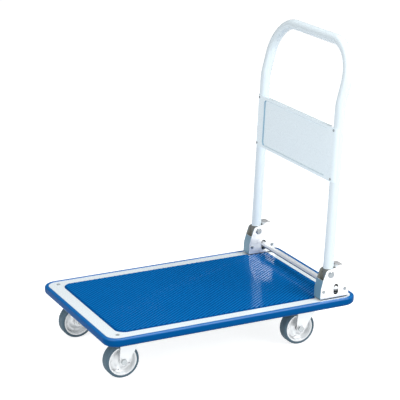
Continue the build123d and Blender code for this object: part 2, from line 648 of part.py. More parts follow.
def hinge_saddle(side):
    """Saddle riveted to the deck, with tabs inside the bracket's walls and a post for the spring."""
    middle = side * LEG_Y
    front, rear = saddle_span()
    half = BRACKET_INNER / 2
    saddle = block((front, rear), (middle - half, middle + half), (DECK_HEIGHT, SADDLE_TOP))
    for x in ((front, front + SADDLE_TAB_LENGTH), (rear - SADDLE_TAB_LENGTH, rear)):
        for wall in (1, -1):
            y = sorted((middle + wall * half, middle + wall * (half - SADDLE_TAB_SHEET)))
            saddle += block(x, y, (SADDLE_TOP, DECK_HEIGHT + SADDLE_TAB_RISE))
    post = 2 * (SPRING_RADIUS - SPRING_WIRE / 2 - SPRING_POST_GAP)
    saddle += rod_z(post, BAR_X, middle, (SADDLE_TOP, SADDLE_TOP + SPRING_POST_RISE))
    rivet_z = DECK_HEIGHT + BRACKET_RIVET_RISE
    for x in tab_middles():
        saddle -= rod_y(BRACKET_RIVET_DIAMETER, x, (middle - half, middle + half), rivet_z)
    for x, y in saddle_rivet_places():
        saddle -= rod_z(SADDLE_RIVET_DIAMETER, x, y, (DECK_HEIGHT, SADDLE_TOP))
    return saddle


def bracket_rivets():
    """Rivets through the walls of the brackets and the tabs of their saddles."""
    rivets = []
    for side in SIDES.values():
        for wall in (1, -1):
            face = side * LEG_Y + wall * BRACKET_WIDTH / 2
            back = side * LEG_Y + wall * (BRACKET_INNER / 2 - SADDLE_TAB_SHEET)
            z = DECK_HEIGHT + BRACKET_RIVET_RISE
            for x in tab_middles():
                rivet = rod_y(BRACKET_RIVET_DIAMETER, x, sorted((face, back)), z)
                rivet += domed_y(BRACKET_RIVET_HEAD, BRACKET_RIVET_HEAD_HEIGHT, x, face, z, wall)
                rivet += domed_y(BRACKET_RIVET_HEAD, BRACKET_RIVET_HEAD_HEIGHT, x, back, z, -wall)
                rivets.append(rivet)
    return rivets


def saddle_rivets():
    """Rivets that hold the saddles to the pan."""
    rivets = []
    for x, y in saddle_rivet_places():
        rivet = rod_z(SADDLE_RIVET_DIAMETER, x, y, (PAN_UNDERSIDE, SADDLE_TOP))
        rivet += domed_z(SADDLE_RIVET_HEAD, SADDLE_RIVET_HEAD_HEIGHT, x, y, SADDLE_TOP, 1)
        rivet += domed_z(SADDLE_RIVET_HEAD, SADDLE_RIVET_HEAD_HEIGHT, x, y, PAN_UNDERSIDE, -1)
        rivets.append(rivet)
    return rivets


def pivot_pin(side):
    """Headed pin through a bracket's walls, on which a leg of the handle turns."""
    middle = side * LEG_Y
    wall = BRACKET_WIDTH / 2
    pin = rod_y(PIVOT_PIN_DIAMETER, PIVOT_X, (middle - wall, middle + wall), PIVOT_Z)
    for out in (1, -1):
        pin += domed_y(PIVOT_HEAD_DIAMETER, PIVOT_HEAD_HEIGHT, PIVOT_X, middle + out * wall, PIVOT_Z, out)
    return pin


def lock_bar():
    """Round foot bar through the slots of both brackets."""
    end = LEG_Y + BRACKET_WIDTH / 2 + BAR_END_PROUD
    bar = rod_y(BAR_DIAMETER, BAR_X, (-end, end), BAR_Z)
    return chamfer(bar.edges().filter_by(GeomType.CIRCLE), BAR_END_PROUD * 0.6)


def bar_clips():
    """Retaining rings on the bar, against the inner walls of the brackets."""
    clips = []
    for side in SIDES.values():
        near = side * (LEG_Y - BRACKET_INNER / 2 + BRACKET_SIDE_GAP)
        span = sorted((near, near + side * CLIP_THICKNESS))
        clips.append(rod_y(CLIP_DIAMETER, BAR_X, span, BAR_Z) - rod_y(BAR_DIAMETER, BAR_X, span, BAR_Z))
    return clips


def biarc(start, start_way, end, end_way):
    """Two tangent arcs from one point and direction to another."""
    chord = end - start
    ways = start_way + end_way
    spread = 2 * (1 - start_way.dot(end_way))
    reach = (math.sqrt(chord.dot(ways) ** 2 + spread * chord.dot(chord)) - chord.dot(ways)) / spread
    meet = (start + start_way * reach + end - end_way * reach) * 0.5
    first = TangentArc(start, meet, tangent=start_way)
    return [first, TangentArc(meet, end, tangent=first % 1)]


def lock_spring(side):
    """Coil spring between a saddle and the foot bar, wound on biarcs of a quarter turn."""
    low = SADDLE_TOP + SPRING_WIRE / 2
    high = BAR_Z - BAR_DIAMETER / 2 - SPRING_GAP - SPRING_WIRE / 2
    steps = round(SPRING_TURNS * 4)
    pitch = (high - low) / SPRING_TURNS
    points = []
    ways = []
    for step in range(steps + 1):
        angle = step * math.pi / 2
        x = BAR_X + SPRING_RADIUS * math.cos(angle)
        y = side * LEG_Y + SPRING_RADIUS * math.sin(angle)
        points.append(Vector(x, y, low + pitch * step / 4))
        way = Vector(-math.sin(angle), math.cos(angle), pitch / (2 * math.pi * SPRING_RADIUS))
        ways.append(way.normalized())
    arcs = []
    for step in range(steps):
        arcs += biarc(points[step], ways[step], points[step + 1], ways[step + 1])
    path = Wire(arcs)
    section = Plane(points[0], z_dir=ways[0]) * Circle(SPRING_WIRE / 2)
    return sweep(section, path=path), pitch - SPRING_WIRE


def leg_frame():
    """Place of the handle's own frame: pivot height, legs along its Z, leaning back."""
    return Pos(PIVOT_X, 0, PIVOT_Z) * Rot(0, HANDLE_LEAN, 0)


def handle_tube():
    """One bent tube: two legs, a kick back above the panel, and the grip across the top."""
    bend = math.radians(HANDLE_BEND_ANGLE)
    top_x = HANDLE_TOP * math.sin(bend)
    top_z = HANDLE_LEG + HANDLE_TOP * math.cos(bend)
    route = []
    for y in (LEG_Y, -LEG_Y):
        leg = [(0, y, -HANDLE_FOOT), (0, y, HANDLE_LEG), (top_x, y, top_z)]
        route += leg if y > 0 else leg[::-1]
    radii = [HANDLE_SIDE_BEND_RADIUS, HANDLE_CORNER_RADIUS, HANDLE_CORNER_RADIUS, HANDLE_SIDE_BEND_RADIUS]
    path = FilletPolyline(*route, radius=radii)
    start = Plane(route[0], x_dir=(1, 0, 0), z_dir=(0, 0, 1))
    ring = Circle(TUBE_RADIUS) - Circle(TUBE_RADIUS - TUBE_WALL)
    tube = sweep(start * ring, path=path)
    for side in SIDES.values():
        y = side * LEG_Y
        bush = PIVOT_PIN_DIAMETER + 2 * PIVOT_RUNNING_GAP + 2 * PIVOT_BUSH_WALL
        tube -= rod_y(bush, 0, (y - TUBE_DIAMETER, y + TUBE_DIAMETER), 0)
    for y, rise in panel_rivet_places():
        tube -= rod_x(PANEL_RIVET_DIAMETER, (-TUBE_DIAMETER, 0), y, rise)
    return leg_frame() * tube


def pivot_bush(side):
    """Bush across a leg, which turns on the pivot pin and keeps the leg clear of the walls."""
    y = side * LEG_Y
    half = TUBE_RADIUS + BUSH_PROUD
    bore = PIVOT_PIN_DIAMETER + 2 * PIVOT_RUNNING_GAP
    bush = rod_y(bore + 2 * PIVOT_BUSH_WALL, PIVOT_X, (y - half, y + half), PIVOT_Z)
    return bush - rod_y(bore, PIVOT_X, (y - half, y + half), PIVOT_Z)


def foot_plug(side):
    """Plug in the foot of a leg."""
    y = side * LEG_Y
    flange = rod_z(TUBE_DIAMETER, 0, y, (-HANDLE_FOOT - PLUG_FLANGE, -HANDLE_FOOT))
    bore = TUBE_DIAMETER - 2 * TUBE_WALL
    shank = rod_z(bore - 2 * PLUG_FIT, 0, y, (-HANDLE_FOOT, -HANDLE_FOOT + PLUG_LENGTH))
    return leg_frame() * (flange + shank)


def polar(radius, angle):
    """Point on a circle about the origin, with the angle in degrees."""
    return radius * math.cos(math.radians(angle)), radius * math.sin(math.radians(angle))


def handle_panel():
    """Sheet panel across the legs' front, wrapped onto the tubes, with a pressed-in field."""
    back = TUBE_RADIUS + PANEL_FIT
    front = back + PANEL_SHEET
    z = (PANEL_LOW, PANEL_HIGH)
    panel = block((-front, -back), (-LEG_Y, LEG_Y), z)
    for side in SIDES.values():
        centre = (0, side * LEG_Y, PANEL_LOW)
        start = 180 if side < 0 else 180 - PANEL_WRAP_ANGLE
        end = start + PANEL_WRAP_ANGLE
        rim = [
            CenterArc((0, 0), front, start, PANEL_WRAP_ANGLE),
            CenterArc((0, 0), back, start, PANEL_WRAP_ANGLE),
            Line(polar(back, start), polar(front, start)),
            Line(polar(back, end), polar(front, end)),
        ]
        sector = Plane(centre) * make_face(rim)
        panel += extrude(sector, amount=PANEL_HIGH - PANEL_LOW, dir=(0, 0, 1))
    width = 2 * (LEG_Y - PANEL_FIELD_SIDE)
    low = PANEL_LOW + PANEL_FIELD_LOW
    high = PANEL_HIGH - PANEL_FIELD_HIGH
    field = RectangleRounded(width, high - low, PANEL_FIELD_RADIUS)
    for x, cut in ((-back, False), (-front, True)):
        plane = Plane((x, 0, (low + high) / 2), x_dir=(0, 1, 0), z_dir=(1, 0, 0))
        dish = extrude(plane * field, amount=PANEL_FIELD_DEPTH, taper=PANEL_FIELD_TAPER)
        panel = panel - dish if cut else panel + dish
    for y, rise in panel_rivet_places():
        panel -= rod_x(PANEL_RIVET_DIAMETER, (-front, 0), y, rise)
    inner = LEG_Y - TUBE_RADIUS - PANEL_FIELD_SIDE / 4
    for edge in ((PANEL_LOW, PANEL_LOW + PANEL_SHEET), (PANEL_HIGH - PANEL_SHEET, PANEL_HIGH)):
        panel += block((-back, -back + PANEL_RETURN), (-inner, inner), edge)
    return leg_frame() * panel


def panel_rivet_places():
    """Places in Y and along the leg of the rivets that hold the panel to the tubes."""
    rises = (PANEL_LOW + PANEL_RIVET_INSET, PANEL_HIGH - PANEL_RIVET_INSET)
    return [(side * LEG_Y, rise) for side in SIDES.values() for rise in rises]


def panel_rivets():
    """Rivets through the panel and the front walls of the tubes."""
    front = TUBE_RADIUS + PANEL_FIT + PANEL_SHEET
    inner = TUBE_RADIUS - 2 * TUBE_WALL
    rivets = []
    for y, rise in panel_rivet_places():
        rivet = rod_x(PANEL_RIVET_DIAMETER, (-front, -inner), y, rise)
        rivet += domed_front(PANEL_RIVET_HEAD, PANEL_RIVET_RISE, -front, y, rise)
        rivets.append(leg_frame() * rivet)
    return rivets


def all_nodes():
    """Every named piece of the cart, as a solid or a list of like solids."""
    nodes = {
        "deck_pan": deck_pan(),
        "deck_mat": deck_mat(),
        "bumper": bumper(),
        "front_member": member(AXLE_FRONT_X, corner_rivet_places()),
        "rear_member": member(AXLE_REAR_X, []),
        "corner_rivets": corner_rivets(),
        "bracket_rivets": bracket_rivets(),
        "saddle_rivets": saddle_rivets(),
        "pivot_pins": [pivot_pin(side) for side in SIDES.values()],
        "lock_bar": lock_bar(),
        "lock_bar_clips": bar_clips(),
        "handle_tube": handle_tube(),
        "handle_panel": handle_panel(),
        "panel_rivets": panel_rivets(),
    }
    for name, side in SIDES.items():
        nodes[f"hinge_bracket_{name}"] = hinge_bracket(side)
        nodes[f"hinge_saddle_{name}"] = hinge_saddle(side)
        nodes[f"lock_spring_{name}"], coil_gap = lock_spring(side)
        nodes[f"pivot_bush_{name}"] = pivot_bush(side)
        nodes[f"foot_plug_{name}"] = foot_plug(side)
        print(f"lock_spring_{name}: gap between coils {coil_gap:.2f} mm")
    for name, (axle_x, y) in CASTERS.items():
        out = math.copysign(1, y)
        rigid = axle_x == AXLE_FRONT_X
        nodes[f"tyre_{name}"] = tyre(axle_x, y)
        nodes[f"rim_outer_{name}"] = rim_half(axle_x, y, out)
        nodes[f"rim_inner_{name}"] = rim_half(axle_x, y, -out)
        nodes[f"hub_bush_{name}"] = hub_bush(axle_x, y)
        nodes[f"fork_{name}"] = rigid_fork(axle_x, y) if rigid else swivel_fork(axle_x, y)
        nodes[f"caster_plate_{name}"] = rigid_plate(axle_x, y) if rigid else swivel_plate(axle_x, y)
        if not rigid:
            nodes[f"swivel_balls_{name}"] = balls(axle_x, y)
            nodes[f"axle_bolt_{name}"] = axle_bolt(axle_x, y)
            nodes[f"axle_nut_{name}"] = axle_nut(axle_x, y)
    front = [place for place in CASTERS.values() if place[0] == AXLE_FRONT_X]
    rear = [place for place in CASTERS.values() if place[0] == AXLE_REAR_X]
    bolts = [spot for place in CASTERS.values() for spot in plate_bolt_places(*place)]
    nodes["axle_bolts_front"] = [axle_bolt(*place) for place in front]
    nodes["axle_nuts_front"] = [axle_nut(*place) for place in front]
    nodes["fork_rivets"] = [fork_rivet(x, y) for axle_x, y in front for x in fork_rivet_places(axle_x)]
    nodes["kingpins"] = [kingpin(*place) for place in rear]
    nodes["caster_bolts"] = [plate_bolt(*spot) for spot in bolts]
    nodes["caster_nuts"] = [plate_nut(*spot) for spot in bolts]
    return nodes


def main():
    """Write each node of the cart to its own file."""
    os.makedirs("parts", exist_ok=True)
    for name, piece in all_nodes().items():
        pieces = piece if isinstance(piece, list) else [piece]
        solids = [solid for item in pieces for solid in item.solids()]
        shape = solids[0] if len(solids) == 1 else Compound(children=solids)
        shape.label = name
        export_step(shape, os.path.join("parts", f"{name}.step"))


if __name__ == "__main__":
    main()
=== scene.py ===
"""Looks of a folding platform cart: finishes, ribbed mat, softened sheet edges and the studio."""

import json
import logging
import math
from collections.abc import Iterator, Sequence
from contextlib import contextmanager
from dataclasses import dataclass, replace
from enum import Enum

import bmesh
import bpy
from mathutils import Euler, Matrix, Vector


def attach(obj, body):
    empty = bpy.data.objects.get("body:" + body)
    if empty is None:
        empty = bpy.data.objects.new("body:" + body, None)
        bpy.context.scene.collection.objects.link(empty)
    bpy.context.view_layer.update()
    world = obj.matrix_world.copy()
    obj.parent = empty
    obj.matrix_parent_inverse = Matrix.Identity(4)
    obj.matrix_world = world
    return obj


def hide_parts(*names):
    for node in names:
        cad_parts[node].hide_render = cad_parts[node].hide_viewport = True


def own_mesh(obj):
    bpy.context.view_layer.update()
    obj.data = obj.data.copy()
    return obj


LOG = logging.getLogger("platform_cart")
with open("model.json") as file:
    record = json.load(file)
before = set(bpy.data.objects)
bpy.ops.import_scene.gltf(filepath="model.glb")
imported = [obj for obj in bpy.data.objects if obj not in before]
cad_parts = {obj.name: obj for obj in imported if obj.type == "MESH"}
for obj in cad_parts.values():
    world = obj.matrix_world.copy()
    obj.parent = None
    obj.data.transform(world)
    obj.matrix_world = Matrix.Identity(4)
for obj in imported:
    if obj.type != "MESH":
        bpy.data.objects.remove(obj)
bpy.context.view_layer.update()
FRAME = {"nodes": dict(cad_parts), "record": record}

Colour = tuple[float, float, float]
Point = tuple[float, float, float]
FlatPoint = tuple[float, float]
Groups = dict[str, bpy.types.NodeTree]
Inputs = dict[str | int, object]
Sockets = bpy.types.bpy_prop_collection

MM = 0.001
WHITE = (1.0, 1.0, 1.0)
QUARTER_TURN = 90.0
FULL_TURN = 360.0

ENDS = ("front", "rear")
SIDES = ("left", "right")
CASTERS = tuple(f"{end}_{side}" for end in ENDS for side in SIDES)
BRACKETS = tuple(f"hinge_bracket_{side}" for side in SIDES)
SLOTS = {entry["node"]: entry["material_slot"] for entry in FRAME["record"]["subparts"]}

MEAN_LEVEL = 0.5
DRIFT_DETAIL = 3.0
GRAIN_DETAIL = 4.0
GRAIN_ROUGHNESS = 0.6
GRAIN_RANGE = (0.3, 0.7)
RELIEF_STRENGTH = 0.5
SPANGLE_SCALE = 260.0

WELD = 0.002 * MM
SHARP_ANGLE = math.radians(35.0)
WAY = "way"


class Kind(Enum):
    """Socket types of the node trees."""

    VECTOR = "NodeSocketVector"
    COLOUR = "NodeSocketColor"
    VALUE = "NodeSocketFloat"
    MESH = "NodeSocketGeometry"
    MATERIAL = "NodeSocketMaterial"


class Mask(Enum):
    """Face masks that tell a finish where shade or a reflection is painted on a piece."""

    INSIDE = "inside"
    FRONT_WEB = "front_web"
    FIELD_EDGE = "field_edge"
    CUT_EDGE = "cut_edge"


class NodeBoard:
    """Node tree with short ways to add and join its nodes."""

    def __init__(self, tree: bpy.types.NodeTree) -> None:
        """Keep the tree that the nodes go into."""
        self.tree = tree

    def feed(self, source: object, target: bpy.types.NodeSocket) -> None:
        """Give an input socket its link or its plain value.

        Args:
            source: socket to link, or value to set.
            target: the input socket.
        """
        if isinstance(source, bpy.types.NodeSocket):
            self.tree.links.new(source, target)
        else:
            target.default_value = source

    def add(self, kind: str, inputs: Inputs, **values: object) -> Sockets:
        """Add a node.

        Args:
            kind: name of the node type.
            inputs: sockets to link or values to set, by the input's name or number.
            values: attributes to set on the node first.

        Returns:
            The node's outputs.
        """
        node = self.tree.nodes.new(kind)
        for name, value in values.items():
            setattr(node, name, value)
        for name, source in inputs.items():
            self.feed(source, node.inputs[name])
        return node.outputs

    def math(self, operation: str, first: object, second: object) -> bpy.types.NodeSocket:
        """Add a sum of two sockets or numbers and return its result."""
        return self.add("ShaderNodeMath", {0: first, 1: second}, operation=operation)[0]

    def group(self, tree: bpy.types.NodeTree, inputs: Inputs) -> Sockets:
        """Place a shader node group and return its outputs."""
        return self.add("ShaderNodeGroup", inputs, node_tree=tree)


class TreeBoard(NodeBoard):
    """Board of a new node tree, with the sockets of its named inputs and outputs."""

    def __init__(self, name: str, kind: str, inputs: dict[str, Kind], outputs: dict[str, Kind]) -> None:
        """Start the tree.

        Args:
            name: the tree's name.
            kind: name of the tree type.
            inputs: input names with their socket types.
            outputs: output names with their socket types.
        """
        super().__init__(bpy.data.node_groups.new(name, kind))
        for way, sockets in (("INPUT", inputs), ("OUTPUT", outputs)):
            for label, socket in sockets.items():
                self.tree.interface.new_socket(label, in_out=way, socket_type=socket.value)
        self.start = self.add("NodeGroupInput", {})
        self.end = self.tree.nodes.new("NodeGroupOutput").inputs


class EffectGroup(TreeBoard):
    """Shader node group of one surface effect."""

    def __init__(self, name: str, inputs: dict[str, Kind], outputs: dict[str, Kind]) -> None:
        """Start a shader tree with the named inputs and outputs."""
        super().__init__(name, "ShaderNodeTree", inputs, outputs)

    def texture(self, kind: str, inputs: Inputs) -> Sockets:
        """Add a texture that also takes the group's Vector and Scale, and return its outputs."""
        return self.add(kind, {"Vector": self.start["Vector"], "Scale": self.start["Scale"], **inputs})

    def vary_colour(self, level: bpy.types.NodeSocket) -> None:
        """Lighten and darken the group's Colour by its Spread.

        Args:
            level: socket with a level that swings about the mean.
        """
        swing = self.math("MULTIPLY", self.math("SUBTRACT", level, MEAN_LEVEL), self.start["Spread"])
        value = self.math("ADD", swing, 1.0)
        shade = self.add("ShaderNodeHueSaturation", {"Value": value, "Color": self.start["Colour"]})
        self.feed(shade["Color"], self.end["Colour"])

    def mix_colour(self, share: bpy.types.NodeSocket, first: str, second: str) -> None:
        """Mix two colour inputs into the group's Colour.

        Args:
            share: socket with the second colour's share.
            first: name of the first colour input.
            second: name of the second colour input.
        """
        colours = {"Color1": self.start[first], "Color2": self.start[second]}
        mix = self.add("ShaderNodeMixRGB", {"Fac": share, **colours})
        self.feed(mix["Color"], self.end["Colour"])


def tone_drift_group() -> bpy.types.NodeTree:
    """Build the group that lets a colour drift slowly over a surface.

    Returns:
        A group from Vector, Colour, Spread and Scale to Colour.
    """
    inputs = {"Vector": Kind.VECTOR, "Colour": Kind.COLOUR, "Spread": Kind.VALUE, "Scale": Kind.VALUE}
    board = EffectGroup("tone_drift", inputs, {"Colour": Kind.COLOUR})
    noise = board.texture("ShaderNodeTexNoise", {"Detail": DRIFT_DETAIL})
    board.vary_colour(noise["Fac"])
    return board.tree


def grain_group() -> bpy.types.NodeTree:
    """Build the group that gives a fine relief and a matching change of roughness.

    Returns:
        A group from Vector, Scale, Low and High to Height and Roughness.
    """
    inputs = {"Vector": Kind.VECTOR, "Scale": Kind.VALUE, "Low": Kind.VALUE, "High": Kind.VALUE}
    board = EffectGroup("fine_grain", inputs, {"Height": Kind.VALUE, "Roughness": Kind.VALUE})
    noise = board.texture("ShaderNodeTexNoise", {"Detail": GRAIN_DETAIL, "Roughness": GRAIN_ROUGHNESS})
    low, high = GRAIN_RANGE
    limits = {"From Min": low, "From Max": high, "To Min": board.start["Low"], "To Max": board.start["High"]}
    spread = board.add("ShaderNodeMapRange", {"Value": noise["Fac"], **limits})
    board.feed(noise["Fac"], board.end["Height"])
    board.feed(spread["Result"], board.end["Roughness"])
    return board.tree


def spangle_group() -> bpy.types.NodeTree:
    """Build the group that breaks a plated colour into faint crystals.

    Returns:
        A group from Vector, Colour, Spread and Scale to Colour.
    """
    inputs = {"Vector": Kind.VECTOR, "Colour": Kind.COLOUR, "Spread": Kind.VALUE, "Scale": Kind.VALUE}
    board = EffectGroup("zinc_spangle", inputs, {"Colour": Kind.COLOUR})
    cells = board.texture("ShaderNodeTexVoronoi", {})
    board.vary_colour(board.add("ShaderNodeSeparateColor", {"Color": cells["Color"]})[0])
    return board.tree


def shade_and_reflection_group() -> bpy.types.NodeTree:
    """Build the group that paints a tint of painted shade or painted reflection over a colour where a mask is
    set.

    Returns:
        A group from Mask, Colour and the painted tint to Colour.
    """
    inputs = {"Mask": Kind.VALUE, "Colour": Kind.COLOUR, "Dull": Kind.COLOUR}
    board = EffectGroup("shade_and_reflection_face", inputs, {"Colour": Kind.COLOUR})
    board.mix_colour(board.start["Mask"], "Colour", "Dull")
    return board.tree


def shade_line_group() -> bpy.types.NodeTree:
    """Build the group that paints light and shade by height: another colour below a level line.

    Returns:
        A group from Vector, Colour, Below, Height and Blur to Colour and Above, the mask over the line.
    """
    inputs = {"Vector": Kind.VECTOR, "Colour": Kind.COLOUR, "Below": Kind.COLOUR, "Height": Kind.VALUE,
              "Blur": Kind.VALUE}
    board = EffectGroup("shade_line", inputs, {"Colour": Kind.COLOUR, "Above": Kind.VALUE})
    place = board.add("ShaderNodeSeparateXYZ", {"Vector": board.start["Vector"]})
    height, blur = board.start["Height"], board.start["Blur"]
    limits = {"From Min": board.math("SUBTRACT", height, blur), "From Max": board.math("ADD", height, blur)}
    ramp = board.add("ShaderNodeMapRange", {"Value": place["Z"], **limits}, interpolation_type="SMOOTHSTEP")
    board.feed(ramp["Result"], board.end["Above"])
    board.mix_colour(ramp["Result"], "Below", "Colour")
    return board.tree


def opaque(colour: Colour) -> tuple[float, float, float, float]:
    """Colour with full alpha, as colour sockets take it."""
    return (*colour, 1.0)


@dataclass(frozen=True)
class Finish:
    """One finish of the cart, with everything its material needs."""

    name: str
    colour: Colour
    rough: tuple[float, float]
    grain_scale: float = 160.0
    grain_depth: float = 0.01 * MM
    drift_scale: float = 6.0
    drift_spread: float = 0.06
    spangle: float = 0.0
    metallic: float = 0.0
    specular: float = 0.5
    coat: float = 0.0
    coat_roughness: float = 0.1
    coat_above_line: bool = False
    # Masks with their tints of painted shade and painted reflection.
    shade_and_reflection_tints: tuple[tuple[Mask, Colour], ...] = ()
    # Colour below a level line, for light and shade painted by height.
    below_line: Colour | None = None
    line_height: float = 0.0
    line_blur: float = 0.1 * MM

    def material(self, groups: Groups) -> bpy.types.Material:
        """Build the material of this finish.

        Args:
            groups: the shared shader groups by name.

        Returns:
            The new material.
        """
        material = bpy.data.materials.new(self.name)
        material.use_nodes = True
        board = NodeBoard(material.node_tree)
        shader = material.node_tree.nodes["Principled BSDF"].inputs
        place = board.add("ShaderNodeTexCoord", {})["Object"]
        low, high = self.rough
        sizes = {"Vector": place, "Scale": self.grain_scale, "Low": low, "High": high}
        grain = board.group(groups["fine_grain"], sizes)
        depths = {"Strength": RELIEF_STRENGTH, "Distance": self.grain_depth}
        relief = board.add("ShaderNodeBump", {**depths, "Height": grain["Height"]})
        sources = {
            "Roughness": grain["Roughness"],
            "Normal": relief["Normal"],
            "Specular IOR Level": self.specular,
            "Coat Roughness": self.coat_roughness,
            **self.paint(board, groups, place),
        }
        for name, source in sources.items():
            board.feed(source, shader[name])
        return material

    def paint(self, board: NodeBoard, groups: Groups, place: bpy.types.NodeSocket) -> Inputs:
        """Place the groups that colour this finish and keep its metal and coat where they belong.

        Args:
            board: board of the material's tree.
            groups: the shared shader groups by name.
            place: socket with the surface coordinates.

        Returns:
            Sockets or values of the shader's colour, metal and coat.
        """
        metal, coat = self.metallic, self.coat
        swing = {"Spread": self.drift_spread, "Scale": self.drift_scale}
        inputs = {"Vector": place, "Colour": opaque(self.colour), **swing}
        colour = board.group(groups["tone_drift"], inputs)["Colour"]
        if self.spangle:
            swing = {"Spread": self.spangle, "Scale": SPANGLE_SCALE}
            inputs = {"Vector": place, "Colour": colour, **swing}
            colour = board.group(groups["zinc_spangle"], inputs)["Colour"]
        # Painted shade and painted reflection: masked faces take the tint and lose their metal.
        for name, tint in self.shade_and_reflection_tints:
            mask = board.add("ShaderNodeAttribute", {}, attribute_name=name.value)["Fac"]
            inputs = {"Mask": mask, "Colour": colour, "Dull": opaque(tint)}
            colour = board.group(groups["shade_and_reflection_face"], inputs)["Colour"]
            if self.metallic:
                metal = board.math("MULTIPLY", board.math("SUBTRACT", 1.0, mask), metal)
        # Light and shade painted by height: the colour below the line is darker.
        if self.below_line:
            line = {"Below": opaque(self.below_line), "Height": self.line_height, "Blur": self.line_blur}
            painted = board.group(groups["shade_line"], {"Vector": place, "Colour": colour, **line})
            colour = painted["Colour"]
            if self.coat_above_line:
                coat = board.math("MULTIPLY", painted["Above"], self.coat)
        return {"Base Color": colour, "Metallic": metal, "Coat Weight": coat}


WHITE_ENAMEL = Finish("white_enamel", (0.79, 0.86, 0.89), rough=(0.22, 0.30), grain_scale=420.0,
                      grain_depth=0.02 * MM, drift_spread=0.03, coat=0.3)
# Below 223 mm, where its feet sit in the brackets, the handle tube is painted dark: painted shade of the
# bracket mouths.
HANDLE_ENAMEL = Finish("handle_enamel", (0.73, 0.82, 0.87), rough=(0.22, 0.30), grain_scale=420.0,
                       drift_spread=0.03, specular=0.3, below_line=(0.17, 0.18, 0.165),
                       line_height=223.0 * MM)
# The slanted edge of the panel's field gets a painted shade, darkest on its near side.
PANEL_ENAMEL = Finish("panel_enamel", (0.80, 0.91, 0.96), rough=(0.24, 0.32), grain_scale=420.0,
                      drift_spread=0.03, coat=0.3, shade_and_reflection_tints=((Mask.FIELD_EDGE, (0.22, 0.42, 0.56)),))
GREY_ENAMEL = Finish("grey_enamel", (0.42, 0.45, 0.49), rough=(0.35, 0.5), grain_scale=420.0,
                     grain_depth=0.04 * MM)
PAINTED_RIVET = Finish("painted_rivet", (0.28, 0.32, 0.34), rough=(0.35, 0.5), grain_scale=300.0,
                       grain_depth=0.02 * MM)
# Below 140.85 mm the ribs' slopes, the grooves and the sheet's sides are darker: painted shade.
MAT_VINYL = Finish("mat_vinyl", (0.0025, 0.150, 0.455), rough=(0.55, 0.65), grain_scale=900.0,
                   drift_scale=9.0, drift_spread=0.12, specular=0.0, coat=1.0, coat_roughness=0.12,
                   coat_above_line=True, below_line=(0.001, 0.070, 0.245),
                   line_height=140.85 * MM, line_blur=0.06 * MM)
# Lighter above 136.5 mm and darker below: painted light on the strip's top and painted shade on its lower
# side; gloss only above the line.
BUMPER_VINYL = Finish("bumper_vinyl", (0.004, 0.128, 0.400), rough=(0.26, 0.34), grain_scale=700.0,
                      drift_scale=7.0, drift_spread=0.08, specular=0.02, coat=1.0, coat_roughness=0.30,
                      coat_above_line=True, below_line=(0.0006, 0.084, 0.285),
                      line_height=136.5 * MM, line_blur=3.0 * MM)
# Inside faces get a painted shade and the front web a painted dark blue reflection of the mat; both lose
# metal.
BRACKET_PLATE = Finish("bracket_plate", (0.94, 0.95, 0.96), rough=(0.30, 0.38), drift_spread=0.05,
                       metallic=0.6,
                       shade_and_reflection_tints=((Mask.INSIDE, (0.40, 0.41, 0.37)), (Mask.FRONT_WEB, (0.07, 0.22, 0.32))))
# The bar is dark below 165.5 mm: painted shade on its underside.
BAR_PLATE = Finish("bar_plate", (0.82, 0.85, 0.87), rough=(0.32, 0.42), drift_spread=0.04, metallic=0.35,
                   below_line=(0.15, 0.155, 0.16), line_height=165.5 * MM, line_blur=2.0 * MM)
WHEEL_PLATE = Finish("wheel_plate", (0.90, 0.92, 0.93), rough=(0.34, 0.44), drift_spread=0.04, metallic=0.5)
# The forks' cut edges get a painted shade.
FORK_PLATE = replace(WHEEL_PLATE, name="fork_plate", shade_and_reflection_tints=((Mask.CUT_EDGE, (0.13, 0.16, 0.16)),))
PIN_PLATE = Finish("pin_plate", (0.33, 0.36, 0.38), rough=(0.22, 0.32), metallic=1.0)
AXLE_PLATE = Finish("axle_plate", (0.46, 0.49, 0.50), rough=(0.24, 0.34), metallic=1.0)
ZINC_PLATE = Finish("zinc_plate", (0.74, 0.76, 0.77), rough=(0.18, 0.28), grain_scale=300.0, spangle=0.05,
                    metallic=1.0)
SPRING_STEEL = Finish("spring_steel", (0.42, 0.42, 0.43), rough=(0.28, 0.4), grain_scale=300.0,
                      grain_depth=0.02 * MM, metallic=1.0)
SADDLE_STEEL = Finish("saddle_steel", (0.10, 0.12, 0.15), rough=(0.35, 0.5), grain_scale=300.0,
                      grain_depth=0.02 * MM, metallic=0.6)
TYRE_RUBBER = Finish("tyre_rubber", (0.088, 0.146, 0.190), rough=(0.5, 0.68), grain_scale=500.0,
                     grain_depth=0.08 * MM, drift_scale=30.0, drift_spread=0.18, specular=0.35)
MOULDED_BLACK = Finish("moulded_black", (0.02, 0.021, 0.024), rough=(0.4, 0.55), grain_scale=800.0,
                       grain_depth=0.08 * MM)

SLOT_FINISHES = {
    "white_paint": WHITE_ENAMEL,
    "blue_mat": MAT_VINYL,
    "blue_bumper": BUMPER_VINYL,
    "grey_paint": GREY_ENAMEL,
    "zinc": ZINC_PLATE,
    "chrome": BRACKET_PLATE,
    "spring_steel": SPRING_STEEL,
    "black_plastic": MOULDED_BLACK,
    "tyre": TYRE_RUBBER,
}
OWN_FINISHES = {
    PAINTED_RIVET: ("corner_rivets", "panel_rivets"),
    SADDLE_STEEL: tuple(f"hinge_saddle_{side}" for side in SIDES),
    HANDLE_ENAMEL: ("handle_tube",),
    PANEL_ENAMEL: ("handle_panel",),
    BAR_PLATE: ("lock_bar",),
    PIN_PLATE: ("pivot_pins", "bracket_rivets"),
    FORK_PLATE: tuple(f"fork_{caster}" for caster in CASTERS),
    WHEEL_PLATE: tuple(f"rim_{half}_{caster}" for caster in CASTERS for half in ("outer", "inner")),
    AXLE_PLATE: ("axle_bolts_front", "axle_bolt_rear_left", "axle_bolt_rear_right"),
}
NODE_FINISHES = {node: finish for finish, nodes in OWN_FINISHES.items() for node in nodes}


